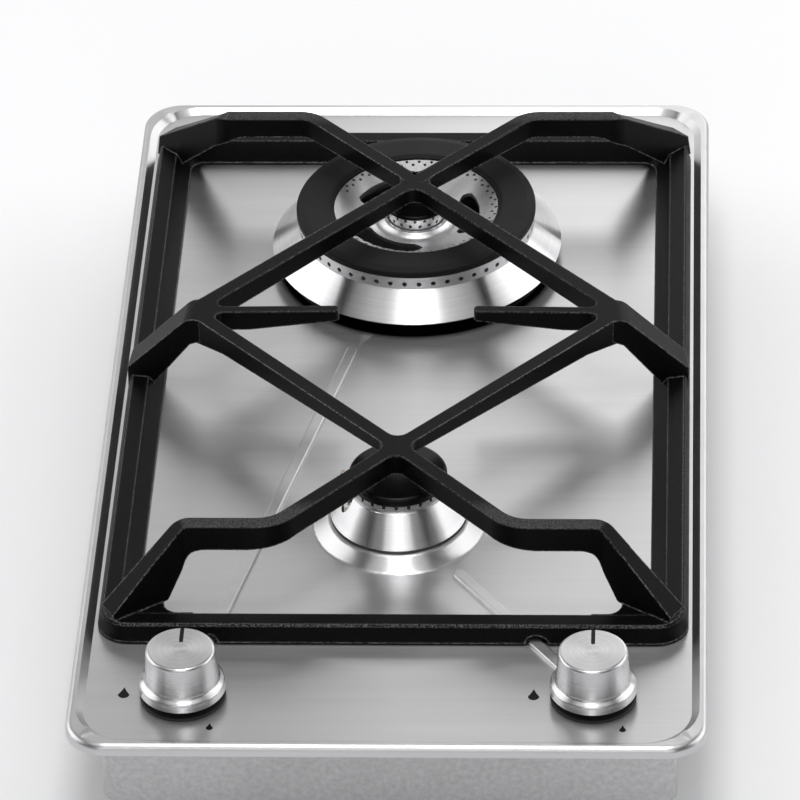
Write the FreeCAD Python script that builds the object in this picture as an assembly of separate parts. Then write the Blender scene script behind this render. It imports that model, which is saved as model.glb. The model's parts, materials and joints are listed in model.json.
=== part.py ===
import FreeCAD, Part
import math
import os

# Gas hob with two burners, sunk into a worktop. Millimetres; z = 0 is the worktop, the cook stands at -Y.

# Overall sizes
plate_width = 290.0
plate_depth = 520.0
cutout_width = plate_width - 20.0
cutout_depth = plate_depth - 30.0
casing_drop = 44.0

# Pressed hob plate
sheet = 1.0
plate_corner = 19.0
lip_bottom = 0.5
rim_top = 6.0
rim_round = 3.0
rim_crest = 4.0
rim_slope = 3.5
well_floor = 3.5
well_corner = 22.0
rib_width = 6.2
rib_height = 1.3
stud_radius = 2.0
stud_length = 9.5

# Cast pan support
support_side_gap = 1.6
support_front_strip = 68.8
support_rear_strip = 28.0
support_bottom = 4.7
support_height = 8.8
support_corner = 15.0
bar_top = 9.5
front_bar_top = 12.0
bar_outer_draft = 2.0
bar_inner_draft = 5.0
arm_top = 49.5
arm_depth = 10.5
arm_width = 7.3
arm_edge = 0.7
leg_foot_width = 17.0
crossing_fillet = 6.0
junction_fillet = 9.0
finger_tip = 31.0
notch_radius = 4.5
foot_radius = 4.2
foot_peg_radius = 2.0
foot_peg_length = 4.0

# Burner places and heights above the well floor
rear_burner_inset = 97.5
front_burner_inset = 93.0
rear_bump = {"base": 84.0, "top": 70.0, "height": 5.0, "round": 6.0}
front_bump = {"base": 40.4, "top": 33.5, "height": 5.5, "round": 3.0}

# Rear triple-crown burner
rear_cup_radius = 42.5
rear_flange_radius = 60.0
rear_flange_thick = 2.5
rear_skirt_foot = 72.4
rear_skirt_top = 58.5
rear_skirt_rise = 0.9
rear_skirt_height = 12.2
rear_skirt_wall = 57.0
rear_band_height = 6.6
rear_port_count = 52
rear_port_radius = 1.05
rear_port_rise = 2.7
inner_port_count = 38
inner_port_radius = 0.6
ring_cap_outer = 59.3
ring_cap_inner = 41.0
ring_cap_thick = 4.5
dish_radius = 33.0
slot_inner = 20.5
slot_outer = 30.5
slot_angles = (5.0, 130.0, 250.0)
slot_sweep = 74.0
centre_crown_radius = 12.5
centre_crown_height = 11.3
centre_port_count = 16
centre_cap_radius = 15.2
centre_cap_thick = 3.2
rear_probe_radius = 62.3
rear_spark_angle = 70.0
rear_thermo_angle = 110.0

# Front auxiliary burner
front_cup_radius = 16.5
front_flange_radius = 30.5
front_flange_thick = 1.0
front_skirt_foot = 32.4
front_skirt_top = 24.0
front_skirt_rise = 0.2
front_skirt_height = 15.8
front_skirt_wall = 20.5
front_band_radius = 22.5
front_band_height = 3.1
front_slot_count = 24
front_cap_radius = 23.1
front_cap_thick = 5.2
front_spark_offset = (-23.0, -9.8)
front_thermo_offset = (-26.0, 7.7)

# Shared burner details
skirt_wall = 1.8
cup_wall = 3.0
cup_bottom = -29.0
cup_boss_radius = 7.0
cup_boss_reach = 15.0
hole_gap = 1.5
insulator_radius = 2.3
spark_pin_radius = 0.7
thermo_radius = 1.6
probe_collar = 3.2
probe_bottom = -9.0
screw_radius = 2.0
screw_head = 3.4

# Controls
knob_side_inset = 52.0
knob_front_inset = 40.0
knob_radius = 20.0
knob_height = 22.0
push_travel = 3.0
push_clearance = 0.3
bezel_radius = 19.5
bezel_top = 5.0
bezel_hole = 9.0
spindle_radius = 4.0
spindle_flat = 2.8
running_gap = 0.05
plug_gap = 0.08
free_gap = 0.4
valve_radius = 11.0
valve_top = -6.0
plug_top = -14.0
plug_bottom = -26.2
plug_top_radius = 6.2
plug_foot_radius = 5.0
port_level = -23.5
outlet_radius = 5.0
gas_way = 1.6
spring_wire = 0.6
spring_turns = 3

# Gas and spark supply
manifold_level = -35.0
manifold_radius = 6.0
manifold_wall = 1.0
saddle_x = 12.0
saddle_y = 9.0
pipe_radius = 3.2
pipe_bend = 16.0
inlet_radius = 10.48
inlet_length = 20.0
inlet_neck = 10.2
inlet_nut_thick = 5.0
magnet_level = -19.0
magnet_radius = 7.0
magnet_length = 18.0
thermo_lead_radius = 0.9
spark_lead_radius = 1.5
generator_size = (56.0, 60.0, 26.0)
gland_radius = 8.0

# Bottom casing and fixings
casing_gap = 4.0
casing_sheet = 0.8
casing_corner = 12.0
casing_flange = 11.0
clamp_length = 60.0
clamp_width = 18.0
clamp_sheet = 2.0
clamp_inset = 31.0
clamp_place = 130.0
clamp_washer = 0.6

# Places that follow from the sizes above
Vec = FreeCAD.Vector
up = Vec(0, 0, 1)
half_width = plate_width / 2
half_depth = plate_depth / 2
well_half_x = half_width - rim_crest - rim_slope
well_half_y = half_depth - rim_crest - rim_slope
underside = well_floor - sheet
support_half_x = well_half_x - support_side_gap
support_front = -well_half_y + support_front_strip
support_rear = well_half_y - support_rear_strip
support_top = support_bottom + support_height
rear_axis = (0.0, support_rear - rear_burner_inset)
front_axis = (0.0, support_front + front_burner_inset)
knob_x = half_width - knob_side_inset
knob_y = -half_depth + knob_front_inset
knob_rest = bezel_top + push_travel + push_clearance
casing_half_x = cutout_width / 2 - casing_gap
casing_half_y = cutout_depth / 2 - casing_gap
casing_floor = -casing_drop + casing_sheet
sides = {"left": -1, "right": 1}
clamp_centres = {
    f"{end}_{side}": (sign * (casing_half_x - clamp_inset), way * clamp_place)
    for side, sign in sides.items()
    for end, way in (("front", -1), ("rear", 1))
}


# Drawing helpers

def outline(corners, place):
    # closed line through corners (u, v) or (u, v, round radius)
    count = len(corners)
    joins = []
    for index, corner in enumerate(corners):
        here = Vec(corner[0], corner[1], 0)
        radius = corner[2] if len(corner) > 2 else 0
        if not radius:
            joins.append((here, None, here))
            continue
        back = (Vec(*corners[index - 1][:2], 0) - here).normalize()
        ahead = (Vec(*corners[(index + 1) % count][:2], 0) - here).normalize()
        half_angle = back.getAngle(ahead) / 2
        reach = radius / math.tan(half_angle)
        inward = (back + ahead).normalize()
        middle = here + inward * (radius / math.sin(half_angle) - radius)
        joins.append((here + back * reach, middle, here + ahead * reach))
    edges = []
    for index, (start, middle, end) in enumerate(joins):
        if middle:
            edges.append(Part.Arc(place(start), place(middle), place(end)).toShape())
        following = joins[(index + 1) % count][0]
        if (following - end).Length > 1e-6:
            edges.append(Part.LineSegment(place(end), place(following)).toShape())
    return Part.Wire(edges)


def flat(z):
    return lambda p: Vec(p.x, p.y, z)


def rectangle(x0, x1, y0, y1, radius, z):
    corners = [(x1, y1, radius), (x0, y1, radius), (x0, y0, radius), (x1, y0, radius)]
    return outline(corners, flat(z))


def prism(wire, height):
    return Part.Face(wire).extrude(up * height)


def block(x0, x1, y0, y1, z0, z1, radius=0):
    return prism(rectangle(x0, x1, y0, y1, radius, z0), z1 - z0)


def tapered(low_wire, high_wire):
    return Part.makeLoft([low_wire, high_wire], True, True)


def turned(corners, axis=(0, 0)):
    # solid of revolution from (radius, z) corners
    solid = Part.Face(outline(corners, lambda p: Vec(p.x, 0, p.y))).revolve(Vec(), up, 360)
    solid.translate(Vec(axis[0], axis[1], 0))
    return solid


def post(radius, z0, z1, place=(0, 0)):
    return Part.makeCylinder(radius, z1 - z0, Vec(place[0], place[1], z0), up)


def rod(radius, start, end):
    return Part.makeCylinder(radius, (end - start).Length, start, end - start)


def hexagon(across, z0, z1, place=(0, 0)):
    far = across / 2 / math.cos(math.pi / 6)
    corners = [(far * math.cos(k * math.pi / 3), far * math.sin(k * math.pi / 3)) for k in range(6)]
    solid = prism(outline(corners, flat(z0)), z1 - z0)
    solid.translate(Vec(place[0], place[1], 0))
    return solid


def around(axis, radius, degrees):
    turn = math.radians(degrees)
    return (axis[0] + radius * math.cos(turn), axis[1] + radius * math.sin(turn))


def bent_bar(points, radius, most_bend=None):
    # round bar along straight runs joined by tangent arcs
    count = len(points)
    edges = []
    last = points[0]
    for index in range(1, count - 1):
        here = points[index]
        back = points[index - 1] - here
        ahead = points[index + 1] - here
        half_turn = (math.pi - back.getAngle(ahead)) / 2
        bend = 0.45 * min(back.Length, ahead.Length) / math.tan(half_turn)
        if most_bend:
            bend = min(bend, most_bend)
        reach = bend * math.tan(half_turn)
        back.normalize()
        ahead.normalize()
        start = here + back * reach
        end = here + ahead * reach
        inward = (back + ahead).normalize()
        middle = here + inward * (bend / math.cos(half_turn) - bend)
        edges.append(Part.LineSegment(last, start).toShape())
        edges.append(Part.Arc(start, middle, end).toShape())
        last = end
    edges.append(Part.LineSegment(last, points[-1]).toShape())
    section = Part.Wire(Part.Circle(points[0], points[1] - points[0], radius).toShape())
    return Part.Wire(edges).makePipeShell([section], True, False)


def joined(shapes):
    return shapes[0].fuse(shapes[1:]).removeSplitter()


def drilled(shape, cutters):
    return shape.cut(cutters)


# Hob plate

def bump(size, axis, drop):
    # raised round seat for a burner; drop lowers it for the hollow side of the sheet
    floor = well_floor - drop
    edge = size["base"] + size["round"]
    return turned([
        (0, floor - sheet),
        (edge, floor - sheet),
        (edge, floor),
        (size["base"], floor, size["round"]),
        (size["top"], floor + size["height"], size["round"]),
        (0, floor + size["height"]),
    ], axis)


def rib_ends():
    # each rib runs from its burner towards the knob that serves it
    stop = bezel_radius + rib_width / 2 + 1.4
    starts = {-1: Vec(rear_axis[0] - 28.6, rear_axis[1] - 82.2, 0)}
    toward_knob = Vec(knob_x, knob_y - front_axis[1], 0).normalize()
    starts[1] = Vec(*front_axis, 0) + toward_knob * (front_bump["base"] + 10.0)
    ends = {}
    for sign, start in starts.items():
        knob = Vec(sign * knob_x, knob_y, 0)
        ends[sign] = (start, knob + (start - knob).normalize() * stop)
    return ends


def rib(start, end, width, floor, height):
    # long pressed bead with round ends and a round back
    along = (end - start).normalize()
    across = Vec(-along.y, along.x, 0) * (width / 2)
    sides_wire = Part.Wire([
        Part.LineSegment(start + across, end + across).toShape(),
        Part.Arc(end + across, end + along * (width / 2), end - across).toShape(),
        Part.LineSegment(end - across, start - across).toShape(),
        Part.Arc(start - across, start - along * (width / 2), start + across).toShape(),
    ])
    sides_wire.translate(up * (floor - sheet / 2))
    solid = prism(sides_wire, height + sheet / 2)
    crown = [e for e in solid.Edges if min(v.Z for v in e.Vertexes) > floor + height - 1e-6]
    return solid.makeFillet(height * 0.8, crown)


def stud_places():
    # studs sit on the middle of the casing's flange
    x = casing_half_x - casing_flange / 2
    return [(sign * x, y) for sign in (-1, 1) for y in (-casing_half_y + 50, 20.0, casing_half_y - 50)]


def probe_places():
    return [
        around(rear_axis, rear_probe_radius, rear_spark_angle),
        around(rear_axis, rear_probe_radius, rear_thermo_angle),
        (front_axis[0] + front_spark_offset[0], front_axis[1] + front_spark_offset[1]),
        (front_axis[0] + front_thermo_offset[0], front_axis[1] + front_thermo_offset[1]),
    ]


def cup_screw_places():
    rear = [around(rear_axis, rear_cup_radius + 6.5, angle) for angle in (30, 150, 270)]
    front = [around(front_axis, front_flange_radius - 4.5, angle) for angle in (0, 100, 260)]
    return rear, front


def hob_plate():
    def well(out, drop):
        low = rectangle(-well_half_x - out, well_half_x + out, -well_half_y - out, well_half_y + out,
                        well_corner + out, well_floor - drop)
        wide = out + rim_slope
        high = rectangle(-well_half_x - wide, well_half_x + wide, -well_half_y - wide, well_half_y + wide,
                         well_corner + wide, rim_top - drop)
        return tapered(low, high)

    def rim_block(inset, top, bottom):
        x, y = half_width - inset, half_depth - inset
        solid = block(-x, x, -y, y, bottom, top, plate_corner - inset)
        top_edges = [e for e in solid.Edges if min(v.Z for v in e.Vertexes) > top - 1e-6]
        return solid.makeFillet(rim_round - inset, top_edges)

    pressed = rim_block(0, rim_top, lip_bottom).cut(well(0, 0))
    hollow = rim_block(sheet, rim_top - sheet, lip_bottom).cut(well(sheet, sheet))
    raised = [bump(rear_bump, rear_axis, 0), bump(front_bump, front_axis, 0)]
    hollows = [bump(rear_bump, rear_axis, sheet), bump(front_bump, front_axis, sheet)]
    for start, end in rib_ends().values():
        raised.append(rib(start, end, rib_width, well_floor, rib_height))
        hollows.append(rib(start, end, rib_width - 2 * sheet, underside, rib_height))
    studs = [post(stud_radius, underside - stud_length, underside + sheet / 2, p) for p in stud_places()]
    plate = pressed.fuse(raised).cut(hollow.fuse(hollows)).fuse(studs)
    holes = [
        post(rear_cup_radius + hole_gap, -1, 20, rear_axis),
        post(front_cup_radius + hole_gap, -1, 20, front_axis),
    ]
    holes += [post(probe_collar - 0.2, -1, 20, p) for p in probe_places()]
    for group in cup_screw_places():
        holes += [post(screw_radius + 0.3, -1, 20, p) for p in group]
    holes += [post(bezel_hole, -1, 20, (sign * knob_x, knob_y)) for sign in (-1, 1)]
    return drilled(plate, holes).removeSplitter()


def rim_gasket():
    # foam strip between the rim and the worktop
    x, y = half_width - 2 * sheet, half_depth - 2 * sheet
    inner_x, inner_y = cutout_width / 2 + 0.5, cutout_depth / 2 + 0.5
    outer = block(-x, x, -y, y, 0, underside, plate_corner - 2 * sheet)
    corner = casing_corner + casing_gap
    return outer.cut(block(-inner_x, inner_x, -inner_y, inner_y, -1, underside + 1, corner))


# Pan support

def support_points():
    # plan of the arms' centre lines, right-hand side
    junction_y = front_axis[1] + 0.463 * (rear_axis[1] - front_axis[1])
    return {
        "rear_corner": Vec(support_half_x - 3, support_rear - 9.5, 0),
        "rear_outer": Vec(support_half_x - 37.9, support_rear - 40.9, 0),
        "rear_inner": Vec(54.5, support_rear - 40.9, 0),
        "rear_cross": Vec(0, rear_axis[1] - 1.0, 0),
        "junction": Vec(support_half_x - 41.9, junction_y, 0),
        "finger": Vec(finger_tip, junction_y + 4.8, 0),
        "side": Vec(support_half_x - 2, junction_y + 4.0, 0),
        "front_cross": Vec(0, front_axis[1] + 0.2, 0),
        "front_inner": Vec(54.0, support_front + 32.3, 0),
        "front_outer": Vec(support_half_x - 39.9, support_front + 32.3, 0),
        "front_corner": Vec(support_half_x - 3, support_front + 10.5, 0),
    }


def mirrored(p):
    return Vec(-p.x, p.y, p.z)


def arm(start, end):
    # straight arm with round ends, flat top and bottom
    low = arm_top - arm_depth
    across = Vec(-(end - start).y, (end - start).x, 0).normalize() * (arm_width / 2)
    corners = [start + across, end + across, end - across, start - across]
    bar = prism(outline([(p.x, p.y) for p in corners], flat(low)), arm_depth)
    return [bar] + [post(arm_width / 2, low, arm_top, (p.x, p.y)) for p in (start, end)]


def leg(top, foot):
    # leg that slopes from an arm's end down to the base frame and widens on the way
    along = (foot - top).normalize()
    across = Vec(-along.y, along.x, 0)

    def section(at, width, low, high):
        half = across * (width / 2)
        return Part.makePolygon([
            at - half + up * low,
            at + half + up * low,
            at + half + up * high,
            at - half + up * high,
            at - half + up * low,
        ])

    upper = section(top, arm_width, arm_top - arm_depth, arm_top)
    lower = section(foot, leg_foot_width, support_bottom + 1, support_top)
    return Part.makeLoft([upper, lower], True, True)


def base_frame():
    def ring(inset, inset_front, inset_rear, corner, z):
        return rectangle(-support_half_x + inset, support_half_x - inset, support_front + inset_front,
                         support_rear - inset_rear, corner, z)

    out, inner = bar_outer_draft, bar_inner_draft
    top_bar = out + bar_top
    outer = tapered(ring(0, 0, 0, support_corner, support_bottom),
                    ring(out, out, out, support_corner - out, support_top))
    opening = tapered(
        ring(top_bar + inner, out + front_bar_top + inner, top_bar + inner, 7.0, support_bottom),
        ring(top_bar, out + front_bar_top, top_bar, 9.0, support_top))
    frame = outer.cut(opening)
    rims = [e for e in frame.Edges if min(v.Z for v in e.Vertexes) > support_top - 1e-6]
    return frame.makeFillet(1.2, rims)


def foot_places():
    side_x = support_half_x - bar_outer_draft - bar_top / 2 - 1.5
    front_y = support_front + bar_outer_draft + front_bar_top / 2 + 1.5
    rear_y = support_rear - bar_outer_draft - bar_top / 2 - 1.5
    middle_y = (front_y + rear_y) / 2
    corner = 10.0
    return [(sign * (side_x - inward), y) for sign in (-1, 1)
            for y, inward in ((front_y, corner), (middle_y, 0), (rear_y, corner))]


def pan_support():
    p = support_points()
    q = {name: mirrored(at) for name, at in p.items()}
    arms = []
    for near, far in ((p, q), (q, p)):
        stub = near["junction"] + (near["side"] - near["junction"]).normalize() * 10
        arms += arm(near["rear_outer"], near["rear_inner"])
        arms += arm(near["rear_inner"], near["rear_cross"])
        arms += arm(near["rear_cross"], far["junction"])
        arms += arm(far["junction"], near["front_cross"])
        arms += arm(near["front_cross"], near["front_inner"])
        arms += arm(near["front_inner"], near["front_outer"])
        arms += arm(near["junction"], near["finger"])
        arms += arm(near["junction"], stub)
    web = joined(arms)

    def upright_near(centre, reach):
        found = []
        for edge in web.Edges:
            ends = edge.Vertexes
            if len(ends) != 2 or abs(ends[0].X - ends[1].X) + abs(ends[0].Y - ends[1].Y) > 1e-6:
                continue
            gap = math.hypot(ends[0].X - centre.x, ends[0].Y - centre.y)
            if arm_width / 2 + 0.05 < gap < reach:
                found.append(edge)
        return found

    for centre, reach, radius in (
        (p["rear_cross"], 9.0, crossing_fillet),
        (p["front_cross"], 9.0, crossing_fillet),
        (p["junction"], 16.0, junction_fillet),
        (q["junction"], 16.0, junction_fillet),
    ):
        web = web.makeFillet(radius, upright_near(centre, reach))
    rims = [e for e in web.Edges if min(v.Z for v in e.Vertexes) > arm_top - 1e-6]
    web = web.makeChamfer(arm_edge, rims)
    legs = []
    for near in (p, q):
        stub = near["junction"] + (near["side"] - near["junction"]).normalize() * 9
        legs.append(leg(near["rear_outer"], near["rear_corner"]))
        legs.append(leg(near["front_outer"], near["front_corner"]))
        legs.append(leg(stub, near["side"]))
    inset = bar_outer_draft
    room = block(-support_half_x + inset, support_half_x - inset, support_front + inset, support_rear - inset,
                 support_bottom, arm_top, support_corner - inset)
    casting = joined([base_frame(), web] + [one.common(room) for one in legs])
    cuts = []
    for start, end in rib_ends().values():
        along = (end - start).normalize()
        middle = start + along * ((support_front + front_bar_top / 2 - start.y) / along.y)
        low = middle + up * (support_bottom - 0.5)
        cuts.append(rod(notch_radius, low - along * 20, low + along * 20))
    peg_top = support_bottom + foot_peg_length + 0.3
    cuts += [post(foot_peg_radius + running_gap, 0, peg_top, at) for at in foot_places()]
    return drilled(casting, cuts)


def pan_support_feet():
    # rubber pads pressed into the underside of the frame
    feet = []
    for at in foot_places():
        feet.append(turned([
            (0, well_floor),
            (foot_radius, well_floor, 0.4),
            (foot_radius, support_bottom),
            (foot_peg_radius, support_bottom),
            (foot_peg_radius, support_bottom + foot_peg_length),
            (0, support_bottom + foot_peg_length),
        ], at))
    return Part.makeCompound(feet)


# Burners

rear_seat = well_floor + rear_bump["height"]
rear_flange_top = rear_seat + rear_flange_thick
rear_skirt_low = rear_flange_top + rear_skirt_rise
rear_skirt_high = rear_skirt_low + rear_skirt_height
rear_band_top = rear_skirt_high + rear_band_height
dish_level = rear_band_top - (ring_cap_inner - dish_radius)
front_seat = well_floor + front_bump["height"]
front_flange_top = front_seat + front_flange_thick
front_skirt_low = front_flange_top + front_skirt_rise
front_skirt_high = front_skirt_low + front_skirt_height
front_band_top = front_skirt_high + front_band_height


def burner_cup(axis, radius, flange, seat, flange_top, boss_way, ears, screws):
    # cast cup that hangs in the plate and carries the injectors
    body = turned([
        (0, cup_bottom),
        (radius, cup_bottom, 3.0),
        (radius, seat),
        (flange, seat),
        (flange, flange_top),
        (radius - cup_wall, flange_top),
        (radius - cup_wall, cup_bottom + cup_wall),
        (0, cup_bottom + cup_wall),
    ], axis)
    start = Vec(axis[0] + boss_way * (radius - cup_wall / 2), axis[1], port_level)
    end = Vec(axis[0] + boss_way * (radius + cup_boss_reach), axis[1], port_level)
    added = [rod(cup_boss_radius, start, end)]
    added += [post(probe_collar + 2.5, seat, flange_top, at) for at in ears]
    body = joined([body] + added)
    cuts = [post(insulator_radius + 0.2, seat - 1, flange_top + 1, at) for at in ears]
    cuts += [post(screw_radius + 0.3, seat - 1, flange_top + 1, at) for at in screws]
    cuts.append(rod(pipe_radius - 0.8, start - Vec(boss_way * cup_wall, 0, 0), end + Vec(boss_way, 0, 0)))
    return drilled(body, cuts)


def skirt_opening(wall_radius):
    # hole in the top of a skirt, inside its standing wall
    return wall_radius - skirt_wall - 2.0


def burner_skirt(axis, foot, top, low, high, seat, wall_radius, probes):
    # flared polished cone on an inner wall that stands on the cup's flange
    inner_foot = foot - skirt_wall - 0.4
    inner_top = top - skirt_wall - 0.4
    ring_low = high - 2 * skirt_wall
    slope = (inner_foot - inner_top) / (high - low)
    inner_high = inner_top + slope * (high - ring_low)
    skirt = turned([
        (foot, low, 0.4),
        (top, high, 0.5),
        (skirt_opening(wall_radius), high),
        (skirt_opening(wall_radius), ring_low),
        (wall_radius - skirt_wall, ring_low),
        (wall_radius - skirt_wall, seat),
        (wall_radius, seat),
        (wall_radius, ring_low),
        (inner_high, ring_low, 0.4),
        (inner_foot, low),
    ], axis)
    return drilled(skirt, [post(probe_collar + 0.2, seat, high + 1, at) for at in probes])


def ring_of_holes(axis, radius, level, count, hole, depth, tilt=0, shift=0.0):
    # radial drillings, tilted down towards the outside where tilt is given
    drills = []
    for k in range(count):
        turn = 2 * math.pi * (k + shift) / count
        out = Vec(math.cos(turn), math.sin(turn), -tilt).normalize()
        at = Vec(axis[0] + radius * math.cos(turn), axis[1] + radius * math.sin(turn), level)
        drills.append(rod(hole, at - out * depth / 2, at + out * depth / 2))
    return drills


def rear_burner_crown():
    floor = rear_skirt_high
    wall = 3.0
    channel = floor + 1.1
    lip = 2.0
    drop = rear_band_top - channel
    crown = turned([
        (rear_skirt_top, floor),
        (rear_skirt_top, rear_band_top),
        (rear_skirt_top - wall, rear_band_top),
        (rear_skirt_top - wall, channel),
        (ring_cap_inner + lip - drop, channel),
        (ring_cap_inner + lip, rear_band_top),
        (ring_cap_inner, rear_band_top),
        (dish_radius, dish_level, 1.0),
        (centre_crown_radius - 3.5, dish_level),
        (centre_crown_radius - 3.5, dish_level - 2.0),
        (dish_radius + 0.8, dish_level - 2.0),
        (dish_radius + 0.8 + floor - dish_level + 2.0, floor),
    ], rear_axis)
    drills = ring_of_holes(rear_axis, rear_skirt_top - wall / 2, floor + rear_port_rise,
                           rear_port_count, rear_port_radius, 2 * wall)
    for share, shift in ((0.69, 0.0), (0.38, 0.5)):
        radius = dish_radius + share * (ring_cap_inner - dish_radius)
        level = dish_level + share * (rear_band_top - dish_level)
        drills += ring_of_holes(rear_axis, radius, level, inner_port_count, inner_port_radius,
                                3.0, 1.0, shift)
    for angle in slot_angles:
        drills.append(arc_slot(rear_axis, slot_inner, slot_outer, angle, slot_sweep,
                               dish_level - 3, dish_level + 1))
    return drilled(crown, drills)


def arc_slot(axis, inner, outer, middle, sweep, z0, z1):
    # curved slot with round ends
    centre = (inner + outer) / 2
    width = outer - inner
    half = math.radians(sweep / 2)
    middle_turn = math.radians(middle)

    def at(radius, turn):
        return Vec(radius * math.cos(middle_turn + turn), radius * math.sin(middle_turn + turn), z0)

    def cap(turn, way):
        bulge = way * width / 2 / centre
        return at(centre, turn + bulge)

    wire = Part.Wire([
        Part.Arc(at(outer, -half), at(outer, 0), at(outer, half)).toShape(),
        Part.Arc(at(outer, half), cap(half, 1), at(inner, half)).toShape(),
        Part.Arc(at(inner, half), at(inner, 0), at(inner, -half)).toShape(),
        Part.Arc(at(inner, -half), cap(-half, -1), at(outer, -half)).toShape(),
    ])
    solid = prism(wire, z1 - z0)
    solid.translate(Vec(axis[0], axis[1], 0))
    return solid


def rear_ring_cap():
    top = rear_band_top + ring_cap_thick
    return turned([
        (ring_cap_inner, rear_band_top, 0.3),
        (rear_skirt_top - 0.6, rear_band_top),
        (ring_cap_outer, rear_band_top + 0.9),
        (ring_cap_outer, top - 0.6, 1.2),
        (ring_cap_outer - 4.0, top, 2.0),
        (ring_cap_inner + 2.0, top, 1.0),
        (ring_cap_inner, top - 1.2, 0.5),
    ], rear_axis)


centre_crown_top = dish_level + centre_crown_height


def rear_centre_crown():
    r = centre_crown_radius
    spigot = r - 3.5 - running_gap
    crown = turned([
        (spigot - 2.0, dish_level - 6.0),
        (spigot, dish_level - 6.0),
        (spigot, dish_level),
        (r + 1.5, dish_level),
        (r - 1.0, dish_level + 2.5, 1.0),
        (r - 1.5, centre_crown_top - 4.0, 1.0),
        (r + 1.0, centre_crown_top),
        (spigot - 2.0, centre_crown_top),
    ], rear_axis)
    ports = ring_of_holes(rear_axis, r - 2.0, centre_crown_top - 5.0, centre_port_count, 0.8, 8.0)
    return drilled(crown, ports)


def round_cap(axis, radius, low, thick, edge):
    # enamelled cap with a stepped foot and a rounded edge
    return turned([
        (0, low),
        (radius - 2.2, low),
        (radius, low + 0.8, 0.3),
        (radius, low + thick - 0.5, edge),
        (0, low + thick),
    ], axis)


def front_burner_crown():
    r = front_band_radius
    floor = front_skirt_high
    spigot = skirt_opening(front_skirt_wall) - running_gap
    bore = spigot - 2.5
    crown = turned([
        (bore, floor - 4.0),
        (spigot, floor - 4.0),
        (spigot, floor),
        (r, floor, 0.3),
        (r, front_band_top),
        (bore, front_band_top),
    ], front_axis)
    slots = []
    for k in range(front_slot_count):
        slot = block(r - 3.0, r + 1.0, -0.75, 0.75, front_band_top - 1.8, front_band_top + 1)
        slot.rotate(Vec(), up, 360 * k / front_slot_count)
        slot.translate(Vec(*front_axis, 0))
        slots.append(slot)
    return drilled(crown, slots)


def injector(place):
    base = cup_bottom + cup_wall
    head = hexagon(8.0, base, base + 5.0, place)
    nose = turned([
        (0, base + 5.0),
        (3.2, base + 5.0),
        (3.2, base + 8.0),
        (1.8, base + 11.0),
        (0.4, base + 11.0),
        (0.4, base + 9.0),
        (0, base + 9.0),
    ], place)
    return joined([head, nose])


def spark_insulator(place, collar_low, top):
    return turned([
        (spark_pin_radius, probe_bottom),
        (insulator_radius - 0.6, probe_bottom),
        (insulator_radius, probe_bottom + 1.5),
        (insulator_radius, collar_low),
        (probe_collar, collar_low),
        (probe_collar, collar_low + 2.5, 0.8),
        (insulator_radius, collar_low + 4.5),
        (insulator_radius - 0.2, top, 0.6),
        (spark_pin_radius, top),
    ], place)


def spark_pin(place, tip):
    return turned([
        (0, probe_bottom - 3.0),
        (spark_pin_radius, probe_bottom - 3.0),
        (spark_pin_radius, tip - 0.5),
        (0, tip),
    ], place)


def thermocouple(place, collar_low, tip):
    r = thermo_radius
    return turned([
        (0, probe_bottom),
        (r + 0.4, probe_bottom),
        (r + 0.4, collar_low),
        (probe_collar, collar_low),
        (probe_collar, collar_low + 2.0),
        (r + 0.6, collar_low + 2.4),
        (r + 0.6, tip - 9.0),
        (r, tip - 8.0),
        (r, tip, r * 0.9),
        (0, tip),
    ], place)


def cup_screws():
    # screws through each cup's flange and the plate, each with its nut below
    group = []
    heads = (rear_flange_top, front_flange_top)
    seats = (rear_seat, front_seat)
    for places, head_low, seat in zip(cup_screw_places(), heads, seats):
        low = seat - sheet
        for at in places:
            group.append(turned([
                (0, low - 6.0),
                (screw_radius, low - 6.0),
                (screw_radius, head_low),
                (screw_head, head_low),
                (screw_head, head_low + 1.6, 1.0),
                (0, head_low + 2.0),
            ], at))
            nut = hexagon(7.0, low - 3.2, low, at)
            group.append(nut.cut(post(screw_radius + running_gap, low - 5, low + 1, at)))
    return Part.makeCompound(group)


# Controls

def knob(sign):
    at = (sign * knob_x, knob_y)
    r = knob_radius
    top = knob_rest + knob_height
    bore_top = top - 5.0
    body = turned([
        (r - 2.2, knob_rest),
        (r, knob_rest, 0.6),
        (r - 0.6, knob_rest + 4.0, 1.5),
        (r - 3.2, knob_rest + 6.0, 2.0),
        (r - 4.2, top, 1.6),
        (0, top),
        (0, top - 2.5),
        (r - 6.8, top - 2.5),
        (r - 5.6, knob_rest + 7.0),
    ], at)
    hub = post(spindle_radius + 3.0, knob_rest + 3.5, top - 2.0, at)
    bore = d_shaft(at, running_gap, knob_rest, bore_top)
    pointer = block(at[0] - 0.9, at[0] + 0.9, at[1] + 5.0, at[1] + r, top - 0.8, top + 1)
    return joined([body, hub]).cut([bore, pointer])


def d_shaft(at, grow, z0, z1):
    # round bar with one flat side towards the cook
    bar = post(spindle_radius + grow, z0, z1, at)
    far = spindle_radius + 2
    flat_y = at[1] - spindle_flat - grow
    return bar.cut(block(at[0] - far, at[0] + far, flat_y - far, flat_y, z0 - 1, z1 + 1))


def spindle(sign):
    at = (sign * knob_x, knob_y)
    flat_low = knob_rest + 3.0
    shaft = post(spindle_radius, valve_top, flat_low, at)
    head = d_shaft(at, 0, flat_low, knob_rest + knob_height - 5.3)
    collar = post(spindle_radius + 1.5, valve_top - 2.0, valve_top, at)
    tongue = block(at[0] - 3.0, at[0] + 3.0, at[1] - 1.2, at[1] + 1.2, plug_top - 2.5, valve_top - 1)
    return joined([shaft, head, collar, tongue])


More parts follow.
